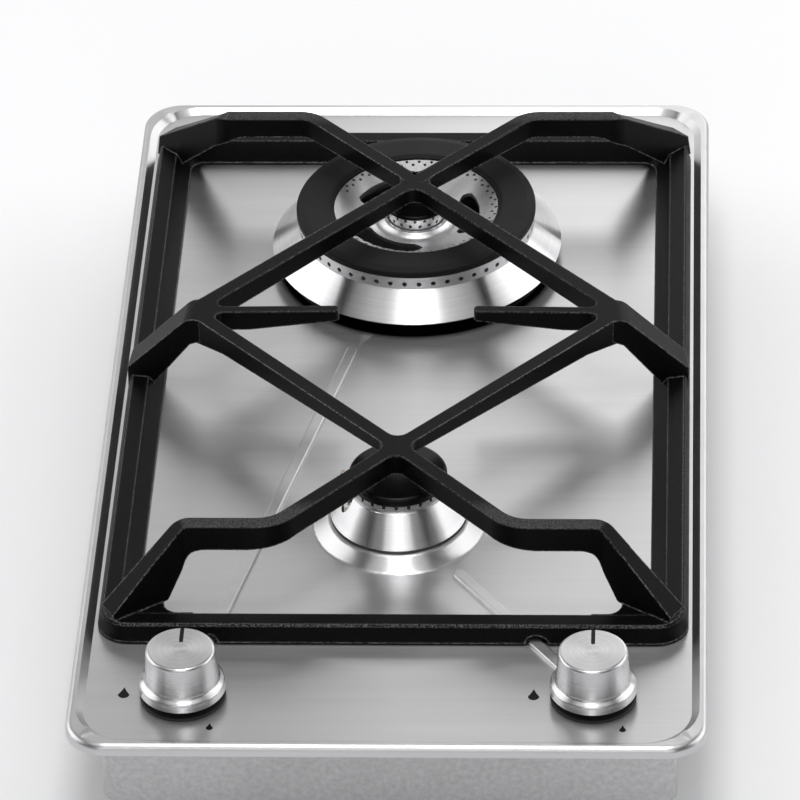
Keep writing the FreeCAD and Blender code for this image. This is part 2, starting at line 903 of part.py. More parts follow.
def valve_plug(sign):
    # tapered plug with a cross port, turned by the spindle's tongue
    at = (sign * knob_x, knob_y)
    slot = block(at[0] - 3.4, at[0] + 3.4, at[1] - 1.6, at[1] + 1.6, plug_top - 6.0, plug_top + 1)
    foot = Vec(at[0], at[1], plug_bottom - 1)
    passage = rod(gas_way, foot, Vec(at[0], at[1], port_level))
    cross = rod(gas_way, Vec(at[0] + 8, at[1], port_level), Vec(at[0] - 8, at[1], port_level))
    cone = turned([
        (0, plug_bottom),
        (plug_foot_radius, plug_bottom),
        (plug_top_radius, plug_top),
        (0, plug_top),
    ], at)
    return cone.cut([slot, passage, cross])


def valve_spring(sign):
    # coil between the plug and the spindle's collar
    at = Vec(sign * knob_x, knob_y, 0)
    radius = spindle_radius + 0.7
    wire = spring_wire / 2
    rise = (valve_top - 2.0 - plug_top - 2 * wire - 0.1) / spring_turns
    steps = 4 * spring_turns

    def on_coil(step):
        turn = math.pi / 2 * step
        z = plug_top + wire + 0.05 + rise * step / 4
        return at + Vec(radius * math.cos(turn), radius * math.sin(turn), z)

    path = Part.Wire([Part.Arc(on_coil(k), on_coil(k + 0.5), on_coil(k + 1)).toShape() for k in range(steps)])
    start_way = Vec(0, radius * math.pi / 2, rise / 4)
    section = Part.Wire(Part.Circle(on_coil(0), start_way, wire).toShape())
    return path.makePipeShell([section], True, False)


def manifold_run(sign):
    # stretch of the manifold's axis that passes through a valve's saddle
    reach = saddle_x + 2
    return [Vec(sign * knob_x + way * reach, knob_y, manifold_level) for way in (-1, 1)]


def valve_body(sign):
    at = (sign * knob_x, knob_y)
    base = manifold_level
    barrel = post(valve_radius, manifold_level + manifold_radius, valve_top, at)
    saddle = block(at[0] - saddle_x, at[0] + saddle_x, at[1] - saddle_y, at[1] + saddle_y,
                   base, base + manifold_radius + 3, 2.0)
    here = Vec(at[0], at[1], port_level)
    outlet = rod(outlet_radius, here, here + Vec(0, valve_radius + 9, 0))
    middle = Vec(at[0], at[1], magnet_level)
    inward = Vec(-sign, 0, 0)
    magnet_boss = rod(magnet_radius + 0.8, middle, middle + inward * (valve_radius + 6))
    body = joined([barrel, saddle, outlet, magnet_boss])
    cavity = turned([
        (0, manifold_level),
        (gas_way, manifold_level),
        (gas_way, plug_bottom - plug_gap),
        (plug_foot_radius + plug_gap, plug_bottom - plug_gap),
        (plug_top_radius + plug_gap, plug_top),
        (plug_top_radius + 0.5, plug_top),
        (plug_top_radius + 0.5, valve_top + 1),
        (0, valve_top + 1),
    ], at)
    cuts = [
        cavity,
        rod(gas_way, here, here + Vec(0, valve_radius + 10, 0)),
        rod(manifold_radius + running_gap, *manifold_run(sign)),
    ]
    cuts += [post(1.5, valve_top - 7.0, valve_top + 1, place) for place in cover_screw_places(at)]
    return drilled(body, cuts)


def cover_screw_places(at):
    return [(at[0], at[1] + way * (valve_radius - 2.3)) for way in (-1, 1)]


def valve_cover(sign):
    at = (sign * knob_x, knob_y)
    plate = turned([
        (0, valve_top),
        (valve_radius + 0.5, valve_top),
        (valve_radius + 0.5, valve_top + 1.5, 0.5),
        (spindle_radius + 1.9, valve_top + 1.5),
        (spindle_radius + 1.5, valve_top + 4.5, 0.5),
        (0, valve_top + 4.5),
    ], at)
    holes = [post(spindle_radius + running_gap, valve_top - 1, valve_top + 6, at)]
    holes += [post(1.5, valve_top - 1, valve_top + 3, place) for place in cover_screw_places(at)]
    return drilled(plate, holes)


def valve_screws():
    group = []
    head = valve_top + 1.5
    for sign in (-1, 1):
        for at in cover_screw_places((sign * knob_x, knob_y)):
            group.append(turned([
                (0, valve_top - 6.5),
                (1.45, valve_top - 6.5),
                (1.45, head),
                (2.5, head),
                (2.5, head + 1.4, 0.8),
                (0, head + 1.6),
            ], at))
    return Part.makeCompound(group)


def magnet_unit(sign):
    # flame-failure magnet screwed to the side of the valve
    inward = Vec(-sign, 0, 0)
    start = Vec(sign * knob_x, knob_y, magnet_level) + inward * (valve_radius + 6)
    barrel = rod(magnet_radius, start, start + inward * (magnet_length - 6))
    nut = rod(magnet_radius - 2.0, start + inward * (magnet_length - 6), start + inward * magnet_length)
    return joined([barrel, nut])


def knob_bezel(sign):
    # seal ring between the knob and the plate
    at = (sign * knob_x, knob_y)
    return turned([
        (spindle_radius + free_gap, underside - 1.0),
        (bezel_hole - 0.2, underside - 1.0),
        (bezel_hole - 0.2, well_floor),
        (bezel_radius, well_floor),
        (bezel_radius - 0.4, bezel_top - 0.3, 0.5),
        (bezel_radius - 5.0, bezel_top, 0.5),
        (spindle_radius + free_gap, bezel_top),
    ], at)


# Gas supply

inlet_place = Vec(casing_half_x - 19.0, casing_half_y - 25.0, manifold_level)
supply_x = knob_x + 26.0


def gas_manifold():
    def route(grow):
        return [
            Vec(-knob_x - 25 - grow, knob_y, manifold_level),
            Vec(supply_x, knob_y, manifold_level),
            Vec(supply_x, inlet_place.y - 90, manifold_level),
            Vec(inlet_place.x, inlet_place.y - 40, manifold_level),
            Vec(inlet_place.x, inlet_place.y - 14 + grow, manifold_level),
        ]

    outer = bent_bar(route(0), manifold_radius, 14.0)
    bore = bent_bar(route(-manifold_wall)[:4] + [route(1)[4]], manifold_radius - manifold_wall, 14.0)
    taps = [post(gas_way, manifold_level, 0, (sign * knob_x, knob_y)) for sign in (-1, 1)]
    return drilled(outer.cut(bore), taps)


def manifold_clamps():
    # lower half of each valve's saddle, standing on the casing floor
    group = []
    for sign in (-1, 1):
        x = sign * knob_x
        half = block(x - saddle_x, x + saddle_x, knob_y - saddle_y, knob_y + saddle_y,
                     casing_floor, manifold_level, 2.0)
        group.append(half.cut(rod(manifold_radius + running_gap, *manifold_run(sign))))
    return Part.makeCompound(group)


def gas_inlet():
    # brass elbow with a pipe-thread nipple down through the casing
    at = (inlet_place.x, inlet_place.y)
    low = -casing_drop - inlet_length
    high = manifold_level + 11.0
    neck_low = -casing_drop - inlet_nut_thick - 0.2
    body = turned([
        (0, low),
        (inlet_radius - 1.0, low),
        (inlet_radius, low + 1.0),
        (inlet_radius, neck_low),
        (inlet_neck, neck_low),
        (inlet_neck, casing_floor),
        (13.5, casing_floor),
        (13.5, casing_floor + 2.0),
        (11.0, casing_floor + 2.0),
        (11.0, high, 2.0),
        (0, high),
    ], at)
    socket = rod(8.2, inlet_place, inlet_place - Vec(0, 14, 0))
    bores = [
        post(6.5, low - 1, manifold_level, at),
        rod(4.5, inlet_place, inlet_place - Vec(0, 15, 0)),
    ]
    return drilled(joined([body, socket]), bores)


def inlet_nut():
    at = (inlet_place.x, inlet_place.y)
    nut = hexagon(27.0, -casing_drop - inlet_nut_thick, -casing_drop, at)
    return nut.cut(post(inlet_neck + running_gap, -casing_drop - 6, -casing_drop + 1, at))


def gas_pipe(sign, axis, cup_radius):
    # bent pipe from a valve's outlet to the boss on the burner cup
    x = sign * knob_x
    boss_end = axis[0] + sign * (cup_radius + cup_boss_reach)
    points = [
        Vec(x, knob_y + valve_radius + 9, port_level),
        Vec(x, axis[1], port_level),
        Vec(boss_end, axis[1], port_level),
    ]
    outer = bent_bar(points, pipe_radius, pipe_bend)
    return outer.cut(bent_bar(points, pipe_radius - 0.8, pipe_bend))


def pipe_nuts():
    # union nuts at both ends of both pipes
    group = []
    for sign, axis, cup_radius in ((-1, rear_axis, rear_cup_radius), (1, front_axis, front_cup_radius)):
        valve_end = Vec(sign * knob_x, knob_y + valve_radius + 9, port_level)
        cup_end = Vec(axis[0] + sign * (cup_radius + cup_boss_reach), axis[1], port_level)
        for start, way in ((valve_end, Vec(0, 1, 0)), (cup_end, Vec(sign, 0, 0))):
            nut = hexagon(13.0, 0, 8.0)
            nut = nut.cut(post(pipe_radius + running_gap, -1, 9))
            nut.Placement = FreeCAD.Placement(start, FreeCAD.Rotation(up, way))
            group.append(nut)
    return Part.makeCompound(group)


# Spark and flame-failure leads

def thermo_lead(sign, probe, route):
    inward = Vec(-sign, 0, 0)
    reach = valve_radius + 6 + magnet_length
    end = Vec(sign * knob_x, knob_y, magnet_level) + inward * reach
    start = Vec(probe[0], probe[1], probe_bottom)
    return bent_bar([start] + route + [end + inward * 28, end], thermo_lead_radius)


def rear_thermo_lead():
    probe = probe_places()[1]
    floor = casing_floor + 4.0
    route = [
        Vec(probe[0], probe[1], -27),
        Vec(probe[0] - 38, probe[1] - 8, floor),
        Vec(-68, rear_axis[1] + 22, floor),
        Vec(-72, rear_axis[1] - 60, floor),
        Vec(-60, front_axis[1] + 90, floor),
        Vec(-52, front_axis[1] + 10, floor),
        Vec(-36, front_axis[1] - 60, floor + 2),
        Vec(-14, knob_y + 38, floor + 5),
        Vec(-9, knob_y + 16, floor + 11),
    ]
    return thermo_lead(-1, probe, route)


def front_thermo_lead():
    probe = probe_places()[3]
    floor = casing_floor + 4.0
    route = [
        Vec(probe[0], probe[1], -28),
        Vec(-24, front_axis[1] - 22, floor),
        Vec(-6, front_axis[1] - 50, floor),
        Vec(12, front_axis[1] - 76, floor + 3),
        Vec(18, knob_y + 24, floor + 10),
    ]
    return thermo_lead(1, probe, route)


generator_y = (rear_axis[1] - rear_cup_radius + front_axis[1] + front_cup_radius) / 2
generator_socket = casing_floor + 16.0


def spark_lead(probe, route, side_x, way):
    start = Vec(probe[0], probe[1], probe_bottom - 3.0)
    end = Vec(side_x, generator_y + way * generator_size[1] / 2, generator_socket)
    out = Vec(0, way, 0)
    return bent_bar([start] + route + [end + out * 20, end], spark_lead_radius)


def rear_spark_lead():
    probe = probe_places()[0]
    floor = casing_floor + 6.0
    return spark_lead(probe, [
        Vec(probe[0], probe[1], -29),
        Vec(probe[0] + 30, probe[1] - 8, floor),
        Vec(62, rear_axis[1] + 12, floor),
        Vec(56, rear_axis[1] - 40, floor),
        Vec(28, rear_axis[1] - 66, floor + 6),
    ], 14.0, 1)


def front_spark_lead():
    probe = probe_places()[2]
    return spark_lead(probe, [
        Vec(probe[0], probe[1], -29),
        Vec(probe[0] - 14, probe[1] + 14, casing_floor + 8),
        Vec(-32, front_axis[1] + 28, casing_floor + 12),
    ], -14.0, -1)


def ignition_generator():
    x, y, z = generator_size
    box = block(-x / 2, x / 2, generator_y - y / 2, generator_y + y / 2, casing_floor, casing_floor + z, 4.0)
    rims = [e for e in box.Edges if min(v.Z for v in e.Vertexes) > casing_floor + z - 1e-6]
    box = box.makeFillet(2.0, rims)
    ears = block(-x / 2 - 10, x / 2 + 10, generator_y - 7, generator_y + 7,
                 casing_floor, casing_floor + 3, 4.0)
    hole_x = x / 2 + 5.5
    holes = [post(2.2, casing_floor - 1, casing_floor + 4, (way * hole_x, generator_y)) for way in (-1, 1)]
    return drilled(joined([box, ears]), holes)


gland_place = (-casing_half_x + 31.0, casing_half_y - 70.0)


def cable_gland():
    # bush in the casing floor where a supply lead would enter
    r = gland_radius
    return turned([
        (4.0, -casing_drop - 9.0),
        (r - 1.0, -casing_drop - 9.0),
        (r + 1.5, -casing_drop, 0.5),
        (r, -casing_drop),
        (r, casing_floor),
        (r + 2.5, casing_floor),
        (r + 2.5, casing_floor + 2.0, 0.6),
        (4.0, casing_floor + 3.0),
    ], gland_place)


# Bottom casing and fixings

def bottom_casing():
    x, y = casing_half_x, casing_half_y
    s = casing_sheet
    tray = block(-x, x, -y, y, -casing_drop, underside, casing_corner)
    room = block(-x + s, x - s, -y + s, y - s, casing_floor, underside - s, casing_corner - s)
    w = casing_flange
    mouth = block(-x + w, x - w, -y + w, y - w, underside - s - 1, underside + 1, 4.0)
    cuts = [room, mouth]
    cuts += [post(stud_radius + 0.3, underside - s - 1, underside + 1, at) for at in stud_places()]
    cuts.append(post(inlet_neck + 0.3, -casing_drop - 1, casing_floor + 1, (inlet_place.x, inlet_place.y)))
    cuts.append(post(gland_radius + 0.1, -casing_drop - 1, casing_floor + 1, gland_place))
    for at in clamp_centres.values():
        cuts.append(post(screw_radius + running_gap, -casing_drop - 1, casing_floor + 1, at))
    slot_pitch = 12.0
    for row in (-1, 1):
        for k in range(-3, 4):
            at_x, at_y = k * slot_pitch, generator_y + row * 55.0
            cuts.append(block(at_x - 2, at_x + 2, at_y - 12, at_y + 12,
                              -casing_drop - 1, casing_floor + 1, 1.9))
    return drilled(tray, cuts)


def casing_nuts():
    top = underside - casing_sheet
    group = []
    for at in stud_places():
        nut = hexagon(7.0, top - 3.2, top, at)
        group.append(nut.cut(post(stud_radius + running_gap, top - 4, top + 1, at)))
    return Part.makeCompound(group)


def worktop_clamp(name):
    # flat steel arm that swings out under the worktop on its screw
    at = clamp_centres[name]
    inward = -1 if at[1] > 0 else 1
    top = -casing_drop - clamp_washer
    half = clamp_width / 2
    near, far = at[1] - inward * half, at[1] + inward * (clamp_length - half)
    low_y, high_y = min(near, far), max(near, far)
    bar = block(at[0] - half, at[0] + half, low_y, high_y, top - clamp_sheet, top, half - 0.5)
    tip_y = far - inward * 8
    lip = block(at[0] - half + 3, at[0] + half - 3, tip_y - 2, tip_y + 2,
                top - 8.0, top - clamp_sheet / 2, 0.9)
    hole = post(screw_radius + free_gap, top - 12, top + 1, at)
    return joined([bar, lip]).cut(hole)


def clamp_screws():
    # screw and washer that carry each clamp, threaded into a boss on the casing floor
    group = []
    bar_low = -casing_drop - clamp_washer - clamp_sheet
    for at in clamp_centres.values():
        group.append(turned([
            (0, casing_floor + 6.0),
            (screw_radius, casing_floor + 6.0),
            (screw_radius, bar_low - 0.3),
            (screw_head + 1.5, bar_low - 0.3),
            (screw_head + 1.5, bar_low - 3.0, 1.0),
            (0, bar_low - 3.4),
        ], at))
        boss = post(screw_radius + 3.0, casing_floor, casing_floor + 7.0, at)
        group.append(boss.cut(post(screw_radius + running_gap, casing_floor - 1, casing_floor + 6.2, at)))
        washer = post(screw_radius + 3.5, -casing_drop - clamp_washer, -casing_drop, at)
        group.append(washer.cut(post(screw_radius + running_gap, -casing_drop - 2, -casing_drop + 1, at)))
    return Part.makeCompound(group)


# All pieces by name

rear_probes = probe_places()[:2]
front_probes = probe_places()[2:]
rear_screws, front_screws = cup_screw_places()

pieces = {
    "hob_plate": hob_plate(),
    "rim_gasket": rim_gasket(),
    "pan_support": pan_support(),
    "pan_support_feet": pan_support_feet(),
    "rear_burner_cup": burner_cup(rear_axis, rear_cup_radius, rear_flange_radius, rear_seat, rear_flange_top,
                                  -1, rear_probes, rear_screws),
    "rear_burner_skirt": burner_skirt(rear_axis, rear_skirt_foot, rear_skirt_top, rear_skirt_low,
                                      rear_skirt_high, rear_flange_top, rear_skirt_wall, rear_probes),
    "rear_burner_crown": rear_burner_crown(),
    "rear_ring_cap": rear_ring_cap(),
    "rear_centre_crown": rear_centre_crown(),
    "rear_centre_cap": round_cap(rear_axis, centre_cap_radius, centre_crown_top, centre_cap_thick, 1.2),
    "rear_injectors": Part.makeCompound([injector(rear_axis), injector((rear_axis[0] + 24.0, rear_axis[1]))]),
    "rear_spark_insulator": spark_insulator(rear_probes[0], rear_flange_top, rear_skirt_high + 0.5),
    "rear_spark_pin": spark_pin(rear_probes[0], rear_skirt_high + 4.0),
    "rear_thermocouple": thermocouple(rear_probes[1], rear_flange_top, rear_skirt_high + 5.0),
    "front_burner_cup": burner_cup(front_axis, front_cup_radius, front_flange_radius, front_seat,
                                   front_flange_top, 1, front_probes, front_screws),
    "front_burner_skirt": burner_skirt(front_axis, front_skirt_foot, front_skirt_top, front_skirt_low,
                                       front_skirt_high, front_flange_top, front_skirt_wall, front_probes),
    "front_burner_crown": front_burner_crown(),
    "front_burner_cap": round_cap(front_axis, front_cap_radius, front_band_top, front_cap_thick, 2.0),
    "front_injector": injector(front_axis),
    "front_spark_insulator": spark_insulator(front_probes[0], front_flange_top, front_skirt_high - 5.0),
    "front_spark_pin": spark_pin(front_probes[0], front_skirt_high - 1.5),
    "front_thermocouple": thermocouple(front_probes[1], front_flange_top, front_skirt_high + 1.5),
    "cup_screws": cup_screws(),
    "valve_screws": valve_screws(),
    "gas_manifold": gas_manifold(),
    "manifold_clamps": manifold_clamps(),
    "gas_inlet": gas_inlet(),
    "inlet_nut": inlet_nut(),
    "rear_gas_pipe": gas_pipe(-1, rear_axis, rear_cup_radius),
    "front_gas_pipe": gas_pipe(1, front_axis, front_cup_radius),
    "pipe_nuts": pipe_nuts(),
    "rear_thermo_lead": rear_thermo_lead(),
    "front_thermo_lead": front_thermo_lead(),
    "rear_spark_lead": rear_spark_lead(),
    "front_spark_lead": front_spark_lead(),
    "ignition_generator": ignition_generator(),
    "cable_gland": cable_gland(),
    "bottom_casing": bottom_casing(),
    "casing_nuts": casing_nuts(),
    "clamp_screws": clamp_screws(),
}
for side, sign in sides.items():
    pieces[f"{side}_knob"] = knob(sign)
    pieces[f"{side}_knob_bezel"] = knob_bezel(sign)
    pieces[f"{side}_spindle"] = spindle(sign)
    pieces[f"{side}_valve_plug"] = valve_plug(sign)
    pieces[f"{side}_valve_spring"] = valve_spring(sign)
    pieces[f"{side}_valve_body"] = valve_body(sign)
    pieces[f"{side}_valve_cover"] = valve_cover(sign)
    pieces[f"{side}_magnet_unit"] = magnet_unit(sign)
for name in clamp_centres:
    pieces[f"{name}_clamp"] = worktop_clamp(name)

os.makedirs("parts", exist_ok=True)
for name, shape in pieces.items():
    shape.exportStep(f"parts/{name}.step")
    state = "ok" if shape.isValid() else "BAD"
    print(name, len(shape.Solids), "solids", round(shape.Volume / 1000, 2), "cm3", state)
print(len(pieces), "pieces")
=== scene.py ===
import bmesh
import bpy
import json
import math
from mathutils import Matrix, Vector


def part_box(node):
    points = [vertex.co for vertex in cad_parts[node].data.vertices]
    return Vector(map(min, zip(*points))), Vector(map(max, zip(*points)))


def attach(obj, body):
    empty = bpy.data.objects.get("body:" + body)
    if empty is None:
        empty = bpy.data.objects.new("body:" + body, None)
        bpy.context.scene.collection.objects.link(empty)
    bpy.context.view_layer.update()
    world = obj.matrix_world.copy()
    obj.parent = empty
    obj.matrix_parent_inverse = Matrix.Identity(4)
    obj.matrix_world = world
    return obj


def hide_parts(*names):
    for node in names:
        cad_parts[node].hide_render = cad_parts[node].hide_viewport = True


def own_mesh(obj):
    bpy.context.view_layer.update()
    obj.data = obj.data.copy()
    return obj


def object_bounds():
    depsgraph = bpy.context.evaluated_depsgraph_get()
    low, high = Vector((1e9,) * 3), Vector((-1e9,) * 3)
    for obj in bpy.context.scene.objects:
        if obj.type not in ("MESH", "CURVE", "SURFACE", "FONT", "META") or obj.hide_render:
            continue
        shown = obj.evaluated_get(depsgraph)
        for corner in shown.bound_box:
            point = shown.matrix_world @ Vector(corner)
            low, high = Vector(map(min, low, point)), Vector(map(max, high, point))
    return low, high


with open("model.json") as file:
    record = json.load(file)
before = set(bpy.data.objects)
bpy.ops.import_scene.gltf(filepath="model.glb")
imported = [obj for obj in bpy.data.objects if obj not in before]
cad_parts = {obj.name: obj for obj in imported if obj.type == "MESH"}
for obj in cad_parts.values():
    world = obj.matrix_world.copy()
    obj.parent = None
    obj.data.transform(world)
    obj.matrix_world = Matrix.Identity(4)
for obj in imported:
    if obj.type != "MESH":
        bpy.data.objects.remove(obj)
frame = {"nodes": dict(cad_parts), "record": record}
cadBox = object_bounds()


def middleOf(node):
    low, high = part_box(node)
    return (low + high) / 2


rearAxis = middleOf("rear_ring_cap")
frontAxis = middleOf("front_burner_cap")
knobAxes = {side: middleOf(side + "_knob") for side in ("left", "right")}


# small helpers for node trees

def addNode(tree, kind, sockets=None, **settings):
    node = tree.nodes.new("ShaderNode" + kind)
    for key, value in settings.items():
        setattr(node, key, value)
    for key, value in (sockets or {}).items():
        if isinstance(value, bpy.types.NodeSocket):
            tree.links.new(value, node.inputs[key])
        else:
            node.inputs[key].default_value = value
    return node


def doMath(tree, operation, first, second=0.0):
    return addNode(tree, "Math", {0: first, 1: second}, operation=operation).outputs[0]


def product(tree, first, *others):
    for other in others:
        first = doMath(tree, "MULTIPLY", first, other)
    return first


def vectorMath(tree, operation, *vectors):
    return addNode(tree, "VectorMath", dict(enumerate(vectors)), operation=operation).outputs


def spread(tree, value, fromLow, fromHigh, toLow=0.0, toHigh=1.0):
    sockets = {"Value": value, "From Min": fromLow, "From Max": fromHigh, "To Min": toLow, "To Max": toHigh}
    return addNode(tree, "MapRange", sockets).outputs["Result"]


def blend(tree, first, second, share):
    # weighted sum, of which first takes the given share
    return doMath(tree, "ADD", product(tree, first, share), product(tree, second, 1 - share))


def addNoise(tree, place, scale, shape):
    return addNode(tree, "TexNoise", {"Vector": place, "Scale": scale, **shape}).outputs["Fac"]


def mixColour(tree, factor, first, second):
    sockets = {0: factor, 6: first, 7: second}
    return addNode(tree, "Mix", sockets, data_type="RGBA").outputs[2]


def grey(value):
    # a trace of blue keeps metals and blacks from looking warm
    return (value, value, value * 1.01, 1.0)


def newGroup(name, inputs, outputs):
    group = bpy.data.node_groups.new(name, "ShaderNodeTree")
    for label, kind in inputs.items():
        group.interface.new_socket(name=label, in_out="INPUT", socket_type="NodeSocket" + kind)
    for label in outputs:
        group.interface.new_socket(name=label, in_out="OUTPUT", socket_type="NodeSocketFloat")
    given, put = (group.nodes.new("NodeGroup" + end) for end in ("Input", "Output"))
    return group, given.outputs, put.inputs


def useGroup(tree, group, sockets):
    return addNode(tree, "Group", sockets, node_tree=group).outputs


# effects that the finishes are built from

streakShape = {
    "fine": {"Detail": 4.0, "Roughness": 0.65},
    "broad": {"Detail": 2.0},
    "broadScale": (0.35, 0.07, 0.07),
}


def makeStreaks(s):
    group, given, put = newGroup("brushStreaks", {"Vector": "Vector"}, ("Fine", "Broad"))
    wide = addNode(group, "Mapping", {"Vector": given["Vector"], "Scale": s["broadScale"]})
    group.links.new(addNoise(group, given["Vector"], 1.0, s["fine"]), put["Fine"])
    group.links.new(addNoise(group, wide.outputs["Vector"], 1.0, s["broad"]), put["Broad"])
    return group


grainShape = {"lumps": {"Detail": 5.0, "Roughness": 0.6}, "pits": (0.0, 0.55)}


def makeGrain(s):
    group, given, put = newGroup("castGrain", {"Vector": "Vector", "Size": "Float"}, ("Grain", "Pits"))
    scale = doMath(group, "DIVIDE", 1.0, given["Size"])
    cells = addNode(group, "TexVoronoi", {"Vector": given["Vector"], "Scale": scale})
    group.links.new(addNoise(group, given["Vector"], scale, s["lumps"]), put["Grain"])
    group.links.new(spread(group, cells.outputs["Distance"], *s["pits"]), put["Pits"])
    return group


ringShape = {"Detail": 3.0}


def makeRings(shape):
    # lathe lines round a piece's own axis
    group, given, put = newGroup("turnedRings", {"Vector": "Vector", "Pitch": "Float"}, ("Ring",))
    split = addNode(group, "SeparateXYZ", {0: given["Vector"]}).outputs
    flat = addNode(group, "CombineXYZ", {"X": split["X"], "Y": split["Y"]}).outputs[0]
    across = doMath(group, "DIVIDE", vectorMath(group, "LENGTH", flat)["Value"], given["Pitch"])
    rise = doMath(group, "DIVIDE", split["Z"], given["Pitch"])
    place = addNode(group, "CombineXYZ", {"X": across, "Y": rise}).outputs[0]
    group.links.new(addNoise(group, place, 1.0, shape), put["Ring"])
    return group


smudgeShape = {"noise": {"Detail": 3.0, "Distortion": 0.6}, "range": (0.42, 0.68)}


def makeSmudges(s):
    group, given, put = newGroup("handSmudges", {"Vector": "Vector", "Size": "Float"}, ("Smudge",))
    soft = addNoise(group, given["Vector"], doMath(group, "DIVIDE", 1.0, given["Size"]), s["noise"])
    group.links.new(spread(group, soft, *s["range"]), put["Smudge"])
    return group


edgeWearHighlightShape = {
    "samples": 6,
    "turn": (0.985, 0.90),  # cosines of the turn of the normal between which the lighter edge sets in
    "noise": {"Detail": 4.0},
    "patches": (0.40, 0.66),
}


def makeEdgeWearHighlight(s):
    # edges painted lighter where a rounded normal turns away from the flat one: partly wear, partly a
    # painted highlight for the light that edges catch; broken up so that the line isn't even
    sockets = {"Vector": "Vector", "Size": "Float", "Width": "Float"}
    group, given, put = newGroup("edgeWearHighlight", sockets, ("Edge",))
    flat = addNode(group, "NewGeometry").outputs["Normal"]
    rounded = addNode(group, "Bevel", {"Radius": given["Width"]}, samples=s["samples"])
    along = vectorMath(group, "DOT_PRODUCT", flat, rounded.outputs["Normal"])["Value"]
    patchy = addNoise(group, given["Vector"], doMath(group, "DIVIDE", 1.0, given["Size"]), s["noise"])
    wearHighlightMask = product(group, spread(group, along, *s["turn"]), spread(group, patchy, *s["patches"]))
    group.links.new(wearHighlightMask, put["Edge"])
    return group


brushStreaks = makeStreaks(streakShape)
castGrain = makeGrain(grainShape)
turnedRings = makeRings(ringShape)
handSmudges = makeSmudges(smudgeShape)
edgeWearHighlight = makeEdgeWearHighlight(edgeWearHighlightShape)
print("effects:", [group.name for group in bpy.data.node_groups])


# finishes

toneRange = (0.3, 0.7)  # values of a noise between which a finish goes from dark to light


def newFinish(name, constants):
    finish = bpy.data.materials.new(name)
    finish.use_nodes = True
    tree = finish.node_tree
    tree.nodes.clear()
    shader = addNode(tree, "BsdfPrincipled", constants)
    addNode(tree, "OutputMaterial", {"Surface": shader.outputs["BSDF"]})
    place = addNode(tree, "TexCoord").outputs["Object"]
    return finish, tree, shader, place


def setBump(tree, shader, height, distance):
    bump = addNode(tree, "Bump", {"Height": height, "Distance": distance, "Strength": 1.0})
    tree.links.new(bump.outputs["Normal"], shader.inputs["Normal"])


def setColour(tree, shader, factor, dark, light):
    tree.links.new(mixColour(tree, factor, dark, light), shader.inputs["Base Color"])


def setRoughness(tree, shader, factor, low, high):
    tree.links.new(spread(tree, factor, 0.0, 1.0, low, high), shader.inputs["Roughness"])


brushedSteel = {
    "dark": grey(0.52),
    "light": grey(0.59),
    "streak": (14.0, 1900.0, 1900.0),  # streaks per metre along X, Y and Z
    "fineTone": 0.6,  # shares of the fine streaks in the tone and in the roughness
    "fineWear": 0.7,
    "roughness": (0.26, 0.38), "smudge": 0.11, "anisotropy": 0.72, "bump": 0.000007,
    "soot": (0.0706, 0.0690),  # distances from the rear burner's middle over which the painted shade under its cone sets in
    "sootLevel": 0.0035,
    "coneShadeColour": grey(0.008),
}


def brushedStainless(name, s):
    finish, tree, shader, place = newFinish(name, {"Metallic": 1.0, "Anisotropic": s["anisotropy"]})
    scaled = addNode(tree, "Mapping", {"Vector": place, "Scale": s["streak"]}).outputs["Vector"]
    lines = useGroup(tree, brushStreaks, {"Vector": scaled})
    marks = useGroup(tree, handSmudges, {"Vector": place, "Size": s["smudge"]})["Smudge"]
    tone = spread(tree, blend(tree, lines["Fine"], lines["Broad"], s["fineTone"]), *toneRange)
    bright = mixColour(tree, tone, s["dark"], s["light"])
    # painted shade: the steel under the rear burner's cone is darkened to stand in for the shadow in the gap
    # beneath it
    away = vectorMath(tree, "DISTANCE", place, (rearAxis.x, rearAxis.y, s["sootLevel"]))["Value"]
    setColour(tree, shader, spread(tree, away, *s["soot"]), bright, s["coneShadeColour"])
    setRoughness(tree, shader, blend(tree, lines["Fine"], marks, s["fineWear"]), *s["roughness"])
    setBump(tree, shader, lines["Fine"], s["bump"])
    # light smears across the brushing, so the tangent lies square to X in the surface
    normal = addNode(tree, "NewGeometry").outputs["Normal"]
    cross = vectorMath(tree, "CROSS_PRODUCT", normal, (1.0, 0.0, 0.0))["Vector"]
    tree.links.new(cross, shader.inputs["Tangent"])
    return finish


castIron = {
    # the lighter colour of worn and highlighted places is partly wear and partly a painted highlight
    "dark": grey(0.0010), "light": grey(0.0050), "tone": (0.35, 0.70), "wearHighlightColour": grey(0.26),
    "grain": 0.0007, "pitShare": 0.35, "roughness": (0.56, 0.34), "specular": 0.07, "bump": 0.00008,
    "edgeMarkSize": 0.0008, "edgeMarkWidth": 0.0013,
    "topLevel": (0.0486, 0.0493),  # heights between which the lighter tops of the outer arms set in
    "slide": (0.154, 0.163),  # distances from the middle, along Y, of the outer arms, whose tops are painted lighter: partly wear from pans slid on and off, partly a painted highlight for the light their tops catch
    "outerArmShare": 0.22,
    "outerArmSpeckle": (0.40, 0.62, 0.2, 1.0),
    "barFoot": (0.0122, 0.0127),  # heights over which the front bar's lightened edge sets in
    "barCrest": (0.0138, 0.0134),  # and fades out
    "barReach": (0.0036, 0.0028),  # and how far back from the front it reaches
    "barShare": 0.45,
    "barSpeckle": (0.46, 0.62),
}


